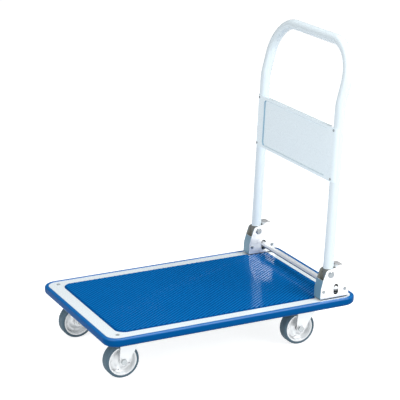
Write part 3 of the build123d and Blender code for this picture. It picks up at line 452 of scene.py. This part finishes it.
class Palette:
    """The materials of the cart, built once and handed out by finish or by CAD node."""

    def __init__(self) -> None:
        """Build the shared groups and every finish."""
        trees = (tone_drift_group(), grain_group(), spangle_group(), shade_and_reflection_group(), shade_line_group())
        groups = {tree.name: tree for tree in trees}
        finishes = (*SLOT_FINISHES.values(), *OWN_FINISHES)
        self.materials = {finish: finish.material(groups) for finish in finishes}

    def __getitem__(self, finish: Finish) -> bpy.types.Material:
        """Return the material of a finish."""
        return self.materials[finish]

    def of_node(self, node: str) -> bpy.types.Material:
        """Return the material of a CAD node, by its own finish or else by its slot's."""
        return self[NODE_FINISHES.get(node, SLOT_FINISHES[SLOTS[node]])]

    def dress_nodes(self) -> None:
        """Give each CAD node its material."""
        for node in SLOTS:
            materials = FRAME["nodes"][node].data.materials
            materials.clear()
            materials.append(self.of_node(node))
            LOG.info("%s wears %s", node, materials[0].name)


def link(obj: bpy.types.Object) -> bpy.types.Object:
    """Put an object into the scene and return it."""
    bpy.context.scene.collection.objects.link(obj)
    return obj


def body_of(node: str) -> str:
    """Name of the body that a CAD node belongs to."""
    bodies = FRAME["record"]["behaviour"]["bodies"]
    return next(label for label, members in bodies.items() if node in members)


def settle(obj: bpy.types.Object, body: str, slot: str, *nodes: str) -> None:
    """Fasten a finished piece to its body.

    Args:
        obj: the piece, with its place in its mesh.
        body: the CAD body that it moves with.
        slot: the record's material slot that it belongs to; not used.
        nodes: CAD nodes that it stands for.
    """
    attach(obj, body)
    if nodes:
        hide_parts(*nodes)
    LOG.info("%s rides on %s", obj.name, body)


@contextmanager
def edited(mesh: bpy.types.Mesh) -> Iterator[bmesh.types.BMesh]:
    """Open a mesh for editing and write it back.

    Args:
        mesh: the mesh to change.

    Yields:
        The mesh in its editable form.
    """
    shape = bmesh.new()
    shape.from_mesh(mesh)
    yield shape
    shape.to_mesh(mesh)
    shape.free()


def evaluated_mesh(obj: bpy.types.Object) -> bpy.types.Mesh:
    """Take an object's shape with its modifiers as a plain mesh, and remove the modifiers.

    Args:
        obj: object in the scene.

    Returns:
        The new mesh.
    """
    graph = bpy.context.evaluated_depsgraph_get()
    mesh = bpy.data.meshes.new_from_object(obj.evaluated_get(graph))
    obj.modifiers.clear()
    return mesh


class ShapeTree(TreeBoard):
    """Geometry Nodes tree with named sizes that leaves a plain mesh."""

    def __init__(self, name: str, *sizes: str) -> None:
        """Start the tree.

        Args:
            name: the tree's name.
            sizes: names of its sizes.
        """
        inputs = {"Geometry": Kind.MESH, **dict.fromkeys(sizes, Kind.VALUE), "Material": Kind.MATERIAL}
        super().__init__(name, "GeometryNodeTree", inputs, {"Geometry": Kind.MESH})

    def end_with(self, shape: bpy.types.NodeSocket, smooth: bool) -> None:
        """End the tree in one painted mesh.

        Args:
            shape: socket with the finished shape or its copies.
            smooth: whether its faces are shaded smooth.
        """
        real = self.add("GeometryNodeRealizeInstances", {"Geometry": shape})
        shade = self.add("GeometryNodeSetShadeSmooth", {"Geometry": real["Geometry"], "Shade Smooth": smooth})
        inputs = {"Geometry": shade["Geometry"], "Material": self.start["Material"]}
        self.feed(self.add("GeometryNodeSetMaterial", inputs)["Geometry"], self.end["Geometry"])

    def run(
        self, name: str, seed: bpy.types.Mesh, sizes: dict[str, float], material: bpy.types.Material
    ) -> bpy.types.Object:
        """Run the tree on a mesh and keep the result as a plain mesh.

        Args:
            name: name of the new piece.
            seed: mesh that the tree starts from, used up by the call.
            sizes: values of the tree's named sizes.
            material: the piece's material.

        Returns:
            The new piece, linked to the scene.
        """
        holder = link(bpy.data.objects.new(name + "_seed", seed))
        modifier = holder.modifiers.new("tree", "NODES")
        modifier.node_group = self.tree
        values = {**sizes, "Material": material}
        for item in self.tree.interface.items_tree:
            if item.in_out == "INPUT" and item.name in values:
                modifier[item.identifier] = values[item.name]
        mesh = evaluated_mesh(holder)
        bpy.data.objects.remove(holder)
        bpy.data.meshes.remove(seed)
        mesh.name = name
        return link(bpy.data.objects.new(name, mesh))


@dataclass
class RibbedMat:
    """Vinyl mat with low ribs that run slantwise across the deck."""

    front: float = -323.5 * MM
    rear: float = 316.5 * MM
    side: float = 198.0 * MM
    corner: float = 28.0 * MM
    notch_front: float = 255.5 * MM
    notch_side: float = 187.5 * MM
    base_low: float = 138.0 * MM
    base_high: float = 139.9 * MM
    edge_round: float = 0.7 * MM
    edge_steps: int = 3
    edge_profile: float = 0.5
    rib_pitch: float = 8.77 * MM
    rib_slant: float = math.radians(35.5)
    rib_foot: float = 7.4 * MM
    rib_crown: float = 4.2 * MM
    rib_rise: float = 1.1 * MM
    plain_edge: float = 5.0 * MM
    shortest_rib: float = 6.0 * MM
    corner_steps: int = 10

    def corner_arc(self, x: float, y: float, start: float) -> list[FlatPoint]:
        """Points of one rounded front corner.

        Args:
            x: X of the arc's centre.
            y: Y of the arc's centre.
            start: angle of the arc's first point, in degrees.

        Returns:
            Points round a quarter turn.
        """
        steps = range(self.corner_steps + 1)
        angles = [math.radians(start + QUARTER_TURN * step / self.corner_steps) for step in steps]
        return [(x + self.corner * math.cos(a), y + self.corner * math.sin(a)) for a in angles]

    def outline(self) -> list[FlatPoint]:
        """Corner points of the mat, with notches round the brackets.

        Returns:
            The points, anticlockwise.
        """
        inner = self.side - self.corner
        points = self.corner_arc(self.front + self.corner, inner, QUARTER_TURN)
        points += self.corner_arc(self.front + self.corner, -inner, 2 * QUARTER_TURN)
        points += [(self.notch_front, -self.side), (self.notch_front, -self.notch_side)]
        points += [(self.rear, -self.notch_side), (self.rear, self.notch_side)]
        points += [(self.notch_front, self.notch_side), (self.notch_front, self.side)]
        return points

    def crossings(self, across: float) -> list[float]:
        """Places where one slanting line meets the mat's outline.

        Args:
            across: distance of the line from the mat's middle.

        Returns:
            Distances along the line, in order.
        """
        cos, sin = math.cos(self.rib_slant), math.sin(self.rib_slant)
        corners = [(x * cos + y * sin, y * cos - x * sin) for x, y in self.outline()]
        found = []
        for (along_1, off_1), (along_2, off_2) in zip(corners, corners[1:] + corners[:1]):
            if (off_1 < across) != (off_2 < across):
                share = (across - off_1) / (off_2 - off_1)
                found.append(along_1 + share * (along_2 - along_1))
        return sorted(found)

    def rib_ends(self) -> list[Point]:
        """End points of all ribs.

        Returns:
            The points in pairs, at half the ribs' height.
        """
        cos, sin = math.cos(self.rib_slant), math.sin(self.rib_slant)
        height = self.base_high + self.rib_rise / 2
        count = int(math.hypot(self.rear - self.front, 2 * self.side) / self.rib_pitch)
        points = []
        for across in (index * self.rib_pitch for index in range(-count, count + 1)):
            ends = self.crossings(across)
            for first, last in zip(ends[::2], ends[1::2]):
                if last - first > 2 * self.plain_edge + self.shortest_rib:
                    points += [(along * cos - across * sin, along * sin + across * cos, height)
                               for along in (first + self.plain_edge, last - self.plain_edge)]
        return points

    def rib_tree(self) -> ShapeTree:
        """Build the tree that raises a low rib along every edge of a mesh.

        Returns:
            A tree with the sizes Foot, Crown and Rise.
        """
        tree = ShapeTree("mat_ribs", "Foot", "Crown", "Rise")
        lines = tree.add("GeometryNodeMeshToCurve", {"Mesh": tree.start["Geometry"]})
        level = tree.add("GeometryNodeSetCurveNormal", {"Curve": lines["Curve"]}, mode="Z_UP")
        widths = {"Bottom Width": tree.start["Crown"], "Top Width": tree.start["Foot"], "Offset": 0.0}
        trapezium = {**widths, "Height": tree.start["Rise"]}
        section = tree.add("GeometryNodeCurvePrimitiveQuadrilateral", trapezium, mode="TRAPEZOID")
        curves = {"Curve": level["Curve"], "Profile Curve": section["Curve"]}
        sweep = tree.add("GeometryNodeCurveToMesh", {**curves, "Fill Caps": True})
        tree.end_with(sweep["Mesh"], smooth=False)
        return tree

    def ribs(self, material: bpy.types.Material) -> bpy.types.Object:
        """Build the ribs on the sheet.

        Args:
            material: the mat's material.

        Returns:
            The ribs as one piece.
        """
        points = self.rib_ends()
        seed = bpy.data.meshes.new("rib_lines")
        seed.from_pydata(points, [(index, index + 1) for index in range(0, len(points), 2)], [])
        sizes = {"Foot": self.rib_foot, "Crown": self.rib_crown, "Rise": self.rib_rise}
        return self.rib_tree().run("mat_ribs", seed, sizes, material)

    def base(self, material: bpy.types.Material) -> bpy.types.Object:
        """Build the flat sheet under the ribs.

        Args:
            material: the mat's material.

        Returns:
            The sheet with rounded upper edges.
        """
        mesh = bpy.data.meshes.new("mat_sheet")
        with edited(mesh) as shape:
            floor = shape.faces.new([shape.verts.new((x, y, self.base_low)) for x, y in self.outline()])
            raised = bmesh.ops.extrude_face_region(shape, geom=[floor])
            top = [item for item in raised["geom"] if isinstance(item, bmesh.types.BMVert)]
            bmesh.ops.translate(shape, verts=top, vec=(0, 0, self.base_high - self.base_low))
            edges = [edge for edge in shape.edges if all(vert in top for vert in edge.verts)]
            bmesh.ops.bevel(shape, geom=edges, offset=self.edge_round, segments=self.edge_steps,
                            affect="EDGES", profile=self.edge_profile)
            bmesh.ops.recalc_face_normals(shape, faces=shape.faces)
        mesh.materials.append(material)
        return link(bpy.data.objects.new("mat_sheet", mesh))

    def build(self, palette: Palette) -> None:
        """Build the mat and lay it on the deck.

        Args:
            palette: the cart's materials.
        """
        material = palette[MAT_VINYL]
        settle(self.base(material), "deck", "blue_mat", "deck_mat")
        settle(self.ribs(material), "deck", "blue_mat")


@dataclass
class RimRivets:
    """Rivets that hold the two pressed halves of each rim together."""

    axle_front: float = -300.5 * MM
    axle_rear: float = 224.5 * MM
    half_track: float = 155.0 * MM
    axle_height: float = 47.0 * MM
    disc_face: float = 1.6 * MM
    ring_radius: float = 28.6 * MM
    head_radius: float = 2.6 * MM
    head_rise: float = 1.6 * MM
    head_segments: int = 16
    head_rings: int = 8
    count: int = 5
    first_angle: float = 40.0

    def places(self, x: float, y: float) -> tuple[list[Point], list[Point]]:
        """Heads on both faces of one wheel.

        Args:
            x: X of the axle.
            y: Y of the wheel's middle plane.

        Returns:
            Places and directions of the heads.
        """
        points, ways = [], []
        for face in (1.0, -1.0):
            for index in range(self.count):
                angle = math.radians(self.first_angle + FULL_TURN * index / self.count)
                across = self.ring_radius * math.cos(angle)
                up = self.ring_radius * math.sin(angle)
                points.append((x + across, y + face * self.disc_face, self.axle_height + up))
                ways.append((0.0, face, 0.0))
        return points, ways

    def tree(self) -> ShapeTree:
        """Build the tree that sets a domed head on every point of a mesh, turned to the point's way.

        Returns:
            A tree with the sizes Radius and Rise.
        """
        tree = ShapeTree("domed_rivets", "Radius", "Rise")
        radius, rise = tree.start["Radius"], tree.start["Rise"]
        facets = {"Segments": self.head_segments, "Rings": self.head_rings}
        ball = tree.add("GeometryNodeMeshUVSphere", {**facets, "Radius": radius})
        share = tree.math("DIVIDE", rise, radius)
        squeeze = tree.add("ShaderNodeCombineXYZ", {"X": 1.0, "Y": 1.0, "Z": share})
        head = tree.add("GeometryNodeTransform", {"Geometry": ball["Mesh"], "Scale": squeeze["Vector"]})
        way = tree.add("GeometryNodeInputNamedAttribute", {"Name": WAY}, data_type="FLOAT_VECTOR")
        turn = tree.add("FunctionNodeAlignRotationToVector", {"Vector": way["Attribute"]}, axis="Z")
        places = {"Points": tree.start["Geometry"], "Rotation": turn["Rotation"]}
        heads = tree.add("GeometryNodeInstanceOnPoints", {**places, "Instance": head["Geometry"]})
        tree.end_with(heads["Instances"], smooth=True)
        return tree

    def build(self, palette: Palette) -> None:
        """Set the rivets into all four wheels.

        Args:
            palette: the cart's materials.
        """
        tree = self.tree()
        sizes = {"Radius": self.head_radius, "Rise": self.head_rise}
        for end, x in zip(ENDS, (self.axle_front, self.axle_rear)):
            for side, y in zip(SIDES, (self.half_track, -self.half_track)):
                points, ways = self.places(x, y)
                seed = bpy.data.meshes.new("rivet_points")
                seed.from_pydata(points, [], [])
                way = seed.attributes.new(WAY, "FLOAT_VECTOR", "POINT")
                way.data.foreach_set("vector", [value for direction in ways for value in direction])
                piece = tree.run(f"rim_rivets_{end}_{side}", seed, sizes, palette[ZINC_PLATE])
                settle(piece, f"wheel_{end}_{side}", "zinc")


@dataclass
class BumperStrip:
    """Soft strip round the pan's rim, with a seam beside the pan, a flat top and a rounded outside."""

    length: float = 740.0 * MM
    width: float = 480.0 * MM
    corner: float = 40.0 * MM
    depth: float = 11.0 * MM
    top: float = 139.5 * MM
    low: float = 115.5 * MM
    seam: float = 0.8 * MM
    seam_depth: float = 1.5 * MM
    top_round: float = 6.0 * MM
    low_round: float = 10.0 * MM
    under_reach: float = 4.0 * MM
    under_thickness: float = 2.0 * MM
    round_steps: int = 8
    corner_steps: int = 12
    sharp_angle: float = math.radians(50.0)

    def rounding(self, size: float, level: float, first: float) -> list[FlatPoint]:
        """Points of one rounded outer edge of the section.

        Args:
            size: radius of the round.
            level: height of the round's centre.
            first: angle of the first point, in degrees.

        Returns:
            Points down a quarter turn.
        """
        steps = range(self.round_steps + 1)
        angles = [math.radians(first - QUARTER_TURN * step / self.round_steps) for step in steps]
        centre = self.depth - size
        return [(centre + size * math.cos(a), level + size * math.sin(a)) for a in angles]

    def section(self) -> list[FlatPoint]:
        """Points of the strip's section.

        Returns:
            The points as distance out from the pan and height.
        """
        seam_floor = self.top - self.seam_depth
        under_top = self.low + self.under_thickness
        points = [(0.0, seam_floor), (self.seam, seam_floor), (self.seam * 2, self.top)]
        points += self.rounding(self.top_round, self.top - self.top_round, QUARTER_TURN)
        points += self.rounding(self.low_round, self.low + self.low_round, 0.0)
        return points + [(-self.under_reach, self.low), (-self.under_reach, under_top), (0.0, under_top)]

    def tree(self) -> ShapeTree:
        """Build the tree that carries the section round the rim.

        Returns:
            A tree with the sizes Length, Width and Corner.
        """
        tree = ShapeTree("bumper_strip", "Length", "Width", "Corner")
        sides = {"Width": tree.start["Length"], "Height": tree.start["Width"]}
        rim = tree.add("GeometryNodeCurvePrimitiveQuadrilateral", sides)
        corners = {"Count": self.corner_steps, "Radius": tree.start["Corner"]}
        rounded = tree.add("GeometryNodeFilletCurve", {"Curve": rim["Curve"], **corners}, mode="POLY")
        section = tree.add("GeometryNodeMeshToCurve", {"Mesh": tree.start["Geometry"]})
        curves = {"Curve": rounded["Curve"], "Profile Curve": section["Curve"]}
        sweep = tree.add("GeometryNodeCurveToMesh", curves)
        tree.end_with(sweep["Mesh"], smooth=True)
        return tree

    def build(self, palette: Palette) -> None:
        """Build the strip and let it stand for the plain bumper.

        Args:
            palette: the cart's materials.
        """
        section = [(out, -height, 0.0) for out, height in self.section()]
        edges = [(index, (index + 1) % len(section)) for index in range(len(section))]
        seed = bpy.data.meshes.new("bumper_section")
        seed.from_pydata(section, edges, [])
        length, width = self.length - 2 * self.depth, self.width - 2 * self.depth
        sizes = {"Length": length, "Width": width, "Corner": self.corner - self.depth}
        piece = self.tree().run("bumper_strip", seed, sizes, palette[BUMPER_VINYL])
        with edited(piece.data) as shape:
            bmesh.ops.recalc_face_normals(shape, faces=shape.faces)
        piece.data.set_sharp_from_angle(angle=self.sharp_angle)
        settle(piece, "deck", "blue_bumper", "bumper")


def mark_faces(mesh: bpy.types.Mesh, mask: Mask, levels: Sequence[float]) -> None:
    """Store a mask on a mesh's faces.

    Args:
        mesh: the mesh.
        mask: which mask it is.
        levels: the mask's level on each face, from 0 to 1.
    """
    stored = mesh.attributes.new(mask.value, "FLOAT", "FACE")
    stored.data.foreach_set("value", [float(level) for level in levels])


@dataclass(frozen=True)
class BracketShadeAndReflection:
    """Painted shade inside a hinge bracket and a painted dark blue reflection of the mat on its front web."""

    web_facing: float = -0.8
    web_level: float = 0.9

    def mark(self, mesh: bpy.types.Mesh) -> None:
        """Mark the front web and the faces that look towards the bracket's own middle.

        Args:
            mesh: the softened bracket, in place.
        """
        spans = [[vert.co[axis] for vert in mesh.vertices] for axis in range(3)]
        middle = Vector([(min(span) + max(span)) / 2 for span in spans])
        inside, web = [], []
        for face in mesh.polygons:
            inward = face.normal.dot(middle - face.center) > 0
            inside.append(inward)
            web.append(self.web_level * (face.normal.x < self.web_facing and not inward))
        mark_faces(mesh, Mask.INSIDE, inside)
        mark_faces(mesh, Mask.FRONT_WEB, web)


@dataclass(frozen=True)
class PanelCreaseShade:
    """Painted shade in the crease along the slanted edge of the handle panel's pressed field."""

    flattest: float = -0.985
    steepest: float = -0.05
    half_width: float = 190.0 * MM
    near_facing: float = -0.15
    near_level: float = 0.95
    other_level: float = 0.25

    def mark(self, mesh: bpy.types.Mesh) -> None:
        """Mark the field's slanted edge, most of all on its near side.

        Args:
            mesh: the softened panel, in place.
        """
        levels = []
        for face in mesh.polygons:
            slanted = self.flattest < face.normal.x < self.steepest and abs(face.center.y) < self.half_width
            near = face.normal.y < self.near_facing
            levels.append(slanted * (self.near_level if near else self.other_level))
        mark_faces(mesh, Mask.FIELD_EDGE, levels)


@dataclass(frozen=True)
class ForkEdgeShade:
    """Painted shade on the cut edges of a fork's two cheeks."""

    crown_depth: float = 8.0 * MM
    cheek_facing: float = 0.6

    def mark(self, mesh: bpy.types.Mesh) -> None:
        """Mark the cut edges below the fork's crown.

        Args:
            mesh: the softened fork, in place.
        """
        crown = max(vert.co.z for vert in mesh.vertices) - self.crown_depth
        mark_faces(mesh, Mask.CUT_EDGE, [abs(face.normal.y) < self.cheek_facing and face.center.z < crown
                                         for face in mesh.polygons])


# Softened pieces that get masks of painted shade and painted reflection.
SHADE_AND_REFLECTION_MARKS = {
    **dict.fromkeys(BRACKETS, BracketShadeAndReflection()),
    "handle_panel": PanelCreaseShade(),
    **dict.fromkeys((f"fork_{caster}" for caster in CASTERS), ForkEdgeShade()),
}


def merged_copy(node: str, material: bpy.types.Material, flat_angle: float = 0.0) -> bpy.types.Object:
    """Copy a CAD node with its loose triangles merged.

    Args:
        node: the CAD node's name.
        material: material of the copy.
        flat_angle: angle up to which triangles become one flat face, 0 to keep them all.

    Returns:
        The copy, shaded smooth and linked to the scene.
    """
    mesh = FRAME["nodes"][node].data.copy()
    with edited(mesh) as shape:
        bmesh.ops.remove_doubles(shape, verts=shape.verts, dist=WELD)
        if flat_angle:
            bmesh.ops.dissolve_limit(shape, angle_limit=flat_angle, verts=shape.verts, edges=shape.edges)
    mesh.materials.clear()
    mesh.materials.append(material)
    mesh.shade_smooth()
    return link(bpy.data.objects.new(node + "_soft", mesh))


def crisp_copy(node: str, material: bpy.types.Material) -> bpy.types.Object:
    """Copy a CAD node with smooth faces and sharp edges.

    Args:
        node: the CAD node's name.
        material: material of the copy.

    Returns:
        The copy, linked to the scene.
    """
    piece = merged_copy(node, material)
    piece.data.set_sharp_from_angle(angle=SHARP_ANGLE)
    return piece


@dataclass
class SoftenedMetal:
    """Pressed and turned metal whose sharp CAD edges are broken by a small round."""

    pan_round: float = 0.6 * MM
    sheet_round: float = 0.5 * MM
    thin_round: float = 0.4 * MM
    flat_angle: float = math.radians(1.0)
    steps: int = 2

    def rounds(self) -> dict[str, float]:
        """Widths of the rounds, which are 0 for rims.

        Returns:
            The widths by node name.
        """
        rounds = dict.fromkeys(BRACKETS, self.sheet_round)
        rounds |= {"deck_pan": self.pan_round, "handle_panel": self.thin_round}
        rounds["axle_bolts_front"] = self.sheet_round
        for caster in CASTERS:
            rounds |= {f"fork_{caster}": self.sheet_round, f"caster_plate_{caster}": self.sheet_round}
            rounds |= {f"rim_outer_{caster}": 0.0, f"rim_inner_{caster}": 0.0}
        for side in SIDES:
            rounds |= {f"axle_bolt_rear_{side}": self.sheet_round, f"hinge_saddle_{side}": self.thin_round}
        return rounds

    def soften(self, node: str, edge_round: float, material: bpy.types.Material) -> bpy.types.Object:
        """Copy a CAD node and round its sharp edges.

        Args:
            node: the CAD node's name.
            edge_round: width of the round.
            material: material of the copy.

        Returns:
            The softened copy, linked to the scene.
        """
        piece = merged_copy(node, material, self.flat_angle)
        bevel = piece.modifiers.new("broken_edges", "BEVEL")
        bevel.width = edge_round
        bevel.segments = self.steps
        bevel.limit_method = "ANGLE"
        bevel.angle_limit = SHARP_ANGLE
        even = piece.modifiers.new("even_shading", "WEIGHTED_NORMAL")
        even.mode = "FACE_AREA"
        piece.data = evaluated_mesh(piece)
        return piece

    def build(self, palette: Palette) -> None:
        """Soften the metal pieces, mark where shade and reflections are painted on them and let the copies
        stand for them.

        Args:
            palette: the cart's materials.
        """
        for node, edge_round in self.rounds().items():
            material = palette.of_node(node)
            piece = self.soften(node, edge_round, material) if edge_round else crisp_copy(node, material)
            if node in SHADE_AND_REFLECTION_MARKS:
                SHADE_AND_REFLECTION_MARKS[node].mark(piece.data)
            settle(piece, body_of(node), SLOTS[node], node)


@dataclass
class LockSprings:
    """Coil springs under the foot bar, which shorten as the bar is pressed down."""

    press: float = 9.0 * MM
    spare: float = 0.3 * MM

    def build(self, palette: Palette) -> None:
        """Let a copy of each spring stand for it.

        Args:
            palette: the cart's materials.
        """
        for side in SIDES:
            name = f"lock_spring_{side}"
            piece = crisp_copy(name, palette.of_node(name))
            settle(piece, body_of(name), "spring_steel", name)
            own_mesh(piece)


def facing(place: Point, aim: Point) -> Euler:
    """Rotation of a camera or lamp at a place that faces a point."""
    return (Vector(aim) - Vector(place)).to_track_quat("-Z", "Y").to_euler()


def matt_material(name: str, colour: Colour) -> bpy.types.Material:
    """Build a plain material without gloss.

    Args:
        name: the material's name.
        colour: its colour.

    Returns:
        The new material.
    """
    material = bpy.data.materials.new(name)
    material.use_nodes = True
    shader = material.node_tree.nodes["Principled BSDF"].inputs
    shader["Base Color"].default_value = opaque(colour)
    shader["Roughness"].default_value = 1.0
    shader["Specular IOR Level"].default_value = 0.0
    return material


@dataclass(frozen=True)
class Lamp:
    """One soft lamp: where it hangs, what it faces, its width and height, and its power in watts."""

    name: str
    place: Point
    aim: Point
    size: tuple[float, float]
    power: float

    def hang(self) -> None:
        """Hang the lamp in the studio."""
        data = bpy.data.lights.new(self.name, "AREA")
        data.shape = "RECTANGLE"
        data.size, data.size_y = self.size
        data.energy = self.power
        lamp = link(bpy.data.objects.new(self.name, data))
        lamp.visible_camera = False
        lamp.location = self.place
        lamp.rotation_euler = facing(self.place, self.aim)


@dataclass
class Studio:
    """Pale floor, even white surround, soft lamps and the camera of the photograph."""

    camera_place: Point = (-1.8407, -3.7619, 1.7036)
    camera_aim: Point = (0.3684, 0.7394, 0.138)
    lens: float = 146.42
    sensor: float = 36.0
    clip_end: float = 100.0
    floor_size: float = 30.0
    floor_colour: Colour = (0.55, 0.56, 0.57)
    floor_lift: float = 0.785
    surround: float = 0.40
    ring_radius: float = 5.0
    ring_low: float = 0.2
    ring_high: float = 6.0
    ring_sides: int = 48
    ring_colour: Colour = (0.02, 0.02, 0.022)
    lamps: tuple[Lamp, ...] = (
        Lamp("key_lamp", place=(1.7, -2.4, 2.2), aim=(0.0, 0.0, 0.3), size=(1.8, 1.8), power=75.0),
        Lamp("top_lamp", place=(0.9, -0.5, 3.4), aim=(0.0, 0.0, 0.2), size=(2.4, 2.4), power=54.0),
        Lamp("fill_lamp", place=(-2.6, -1.4, 1.6), aim=(0.0, 0.0, 0.45), size=(2.6, 2.0), power=54.0),
    )

    def set_camera(self) -> None:
        """Put the camera where the photograph was taken."""
        data = bpy.data.cameras.new("photo_camera")
        data.lens = self.lens
        data.sensor_width = self.sensor
        data.sensor_fit = "HORIZONTAL"
        data.clip_end = self.clip_end
        camera = link(bpy.data.objects.new("photo_camera", data))
        camera.location = self.camera_place
        camera.rotation_euler = facing(self.camera_place, self.camera_aim)
        bpy.context.scene.camera = camera

    def seen_rays(self, board: NodeBoard) -> bpy.types.NodeSocket:
        """Mask of the rays that should see plain white.

        Args:
            board: board of the tree that needs the mask.

        Returns:
            Socket that is 1 for camera, glossy and transmission rays.
        """
        path = board.add("ShaderNodeLightPath", {})
        first = board.math("MAXIMUM", path["Is Camera Ray"], path["Is Glossy Ray"])
        return board.math("MAXIMUM", first, path["Is Transmission Ray"])

    def set_floor(self) -> None:
        """Lay the floor, which keeps the cart's shadow."""
        half = self.floor_size / 2
        corners = [(-half, -half, 0), (half, -half, 0), (half, half, 0), (-half, half, 0)]
        mesh = bpy.data.meshes.new("floor")
        mesh.from_pydata(corners, [], [(0, 1, 2, 3)])
        floor = link(bpy.data.objects.new("floor", mesh))
        material = matt_material("pale_floor", self.floor_colour)
        board = NodeBoard(material.node_tree)
        shader = material.node_tree.nodes["Principled BSDF"].inputs
        shader["Emission Color"].default_value = opaque(WHITE)
        lift = board.math("MULTIPLY", self.seen_rays(board), self.floor_lift)
        board.feed(lift, shader["Emission Strength"])
        mesh.materials.append(material)

    def set_world(self) -> None:
        """Surround the cart with even light that looks white where it is seen."""
        world = bpy.data.worlds.new("white_surround")
        bpy.context.scene.world = world
        world.use_nodes = True
        board = NodeBoard(world.node_tree)
        back = world.node_tree.nodes["Background"]
        back.inputs["Color"].default_value = opaque(WHITE)
        seen = self.seen_rays(board)
        rest = board.math("SUBTRACT", 1.0, seen)
        level = board.math("ADD", seen, board.math("MULTIPLY", rest, self.surround))
        board.feed(level, back.inputs["Strength"])

    def set_dark_ring(self) -> None:
        """Stand a dark cloth round the studio that only reflections show, so that gloss has contrast."""
        angles = [2 * math.pi * index / self.ring_sides for index in range(self.ring_sides)]
        points = [(self.ring_radius * math.cos(angle), self.ring_radius * math.sin(angle), level)
                  for angle in angles for level in (self.ring_low, self.ring_high)]
        count = len(points)
        faces = [(i, (i + 2) % count, (i + 3) % count, i + 1) for i in range(0, count, 2)]
        mesh = bpy.data.meshes.new("dark_ring")
        mesh.from_pydata(points, [], faces)
        mesh.materials.append(matt_material("dark_cloth", self.ring_colour))
        ring = link(bpy.data.objects.new("dark_ring", mesh))
        ring.visible_camera = False
        ring.visible_diffuse = False
        ring.visible_shadow = False
        ring.visible_transmission = False

    def build(self) -> None:
        """Set up the whole studio."""
        self.set_camera()
        self.set_floor()
        self.set_world()
        self.set_dark_ring()
        for lamp in self.lamps:
            lamp.hang()
        bpy.context.scene.view_settings.view_transform = "Standard"


def main() -> None:
    """Dress the cart and build its studio."""
    logging.basicConfig(level=logging.INFO)
    palette = Palette()
    palette.dress_nodes()
    RibbedMat().build(palette)
    RimRivets().build(palette)
    BumperStrip().build(palette)
    SoftenedMetal().build(palette)
    LockSprings().build(palette)
    Studio().build()


if __name__ == "__main__":
    main()
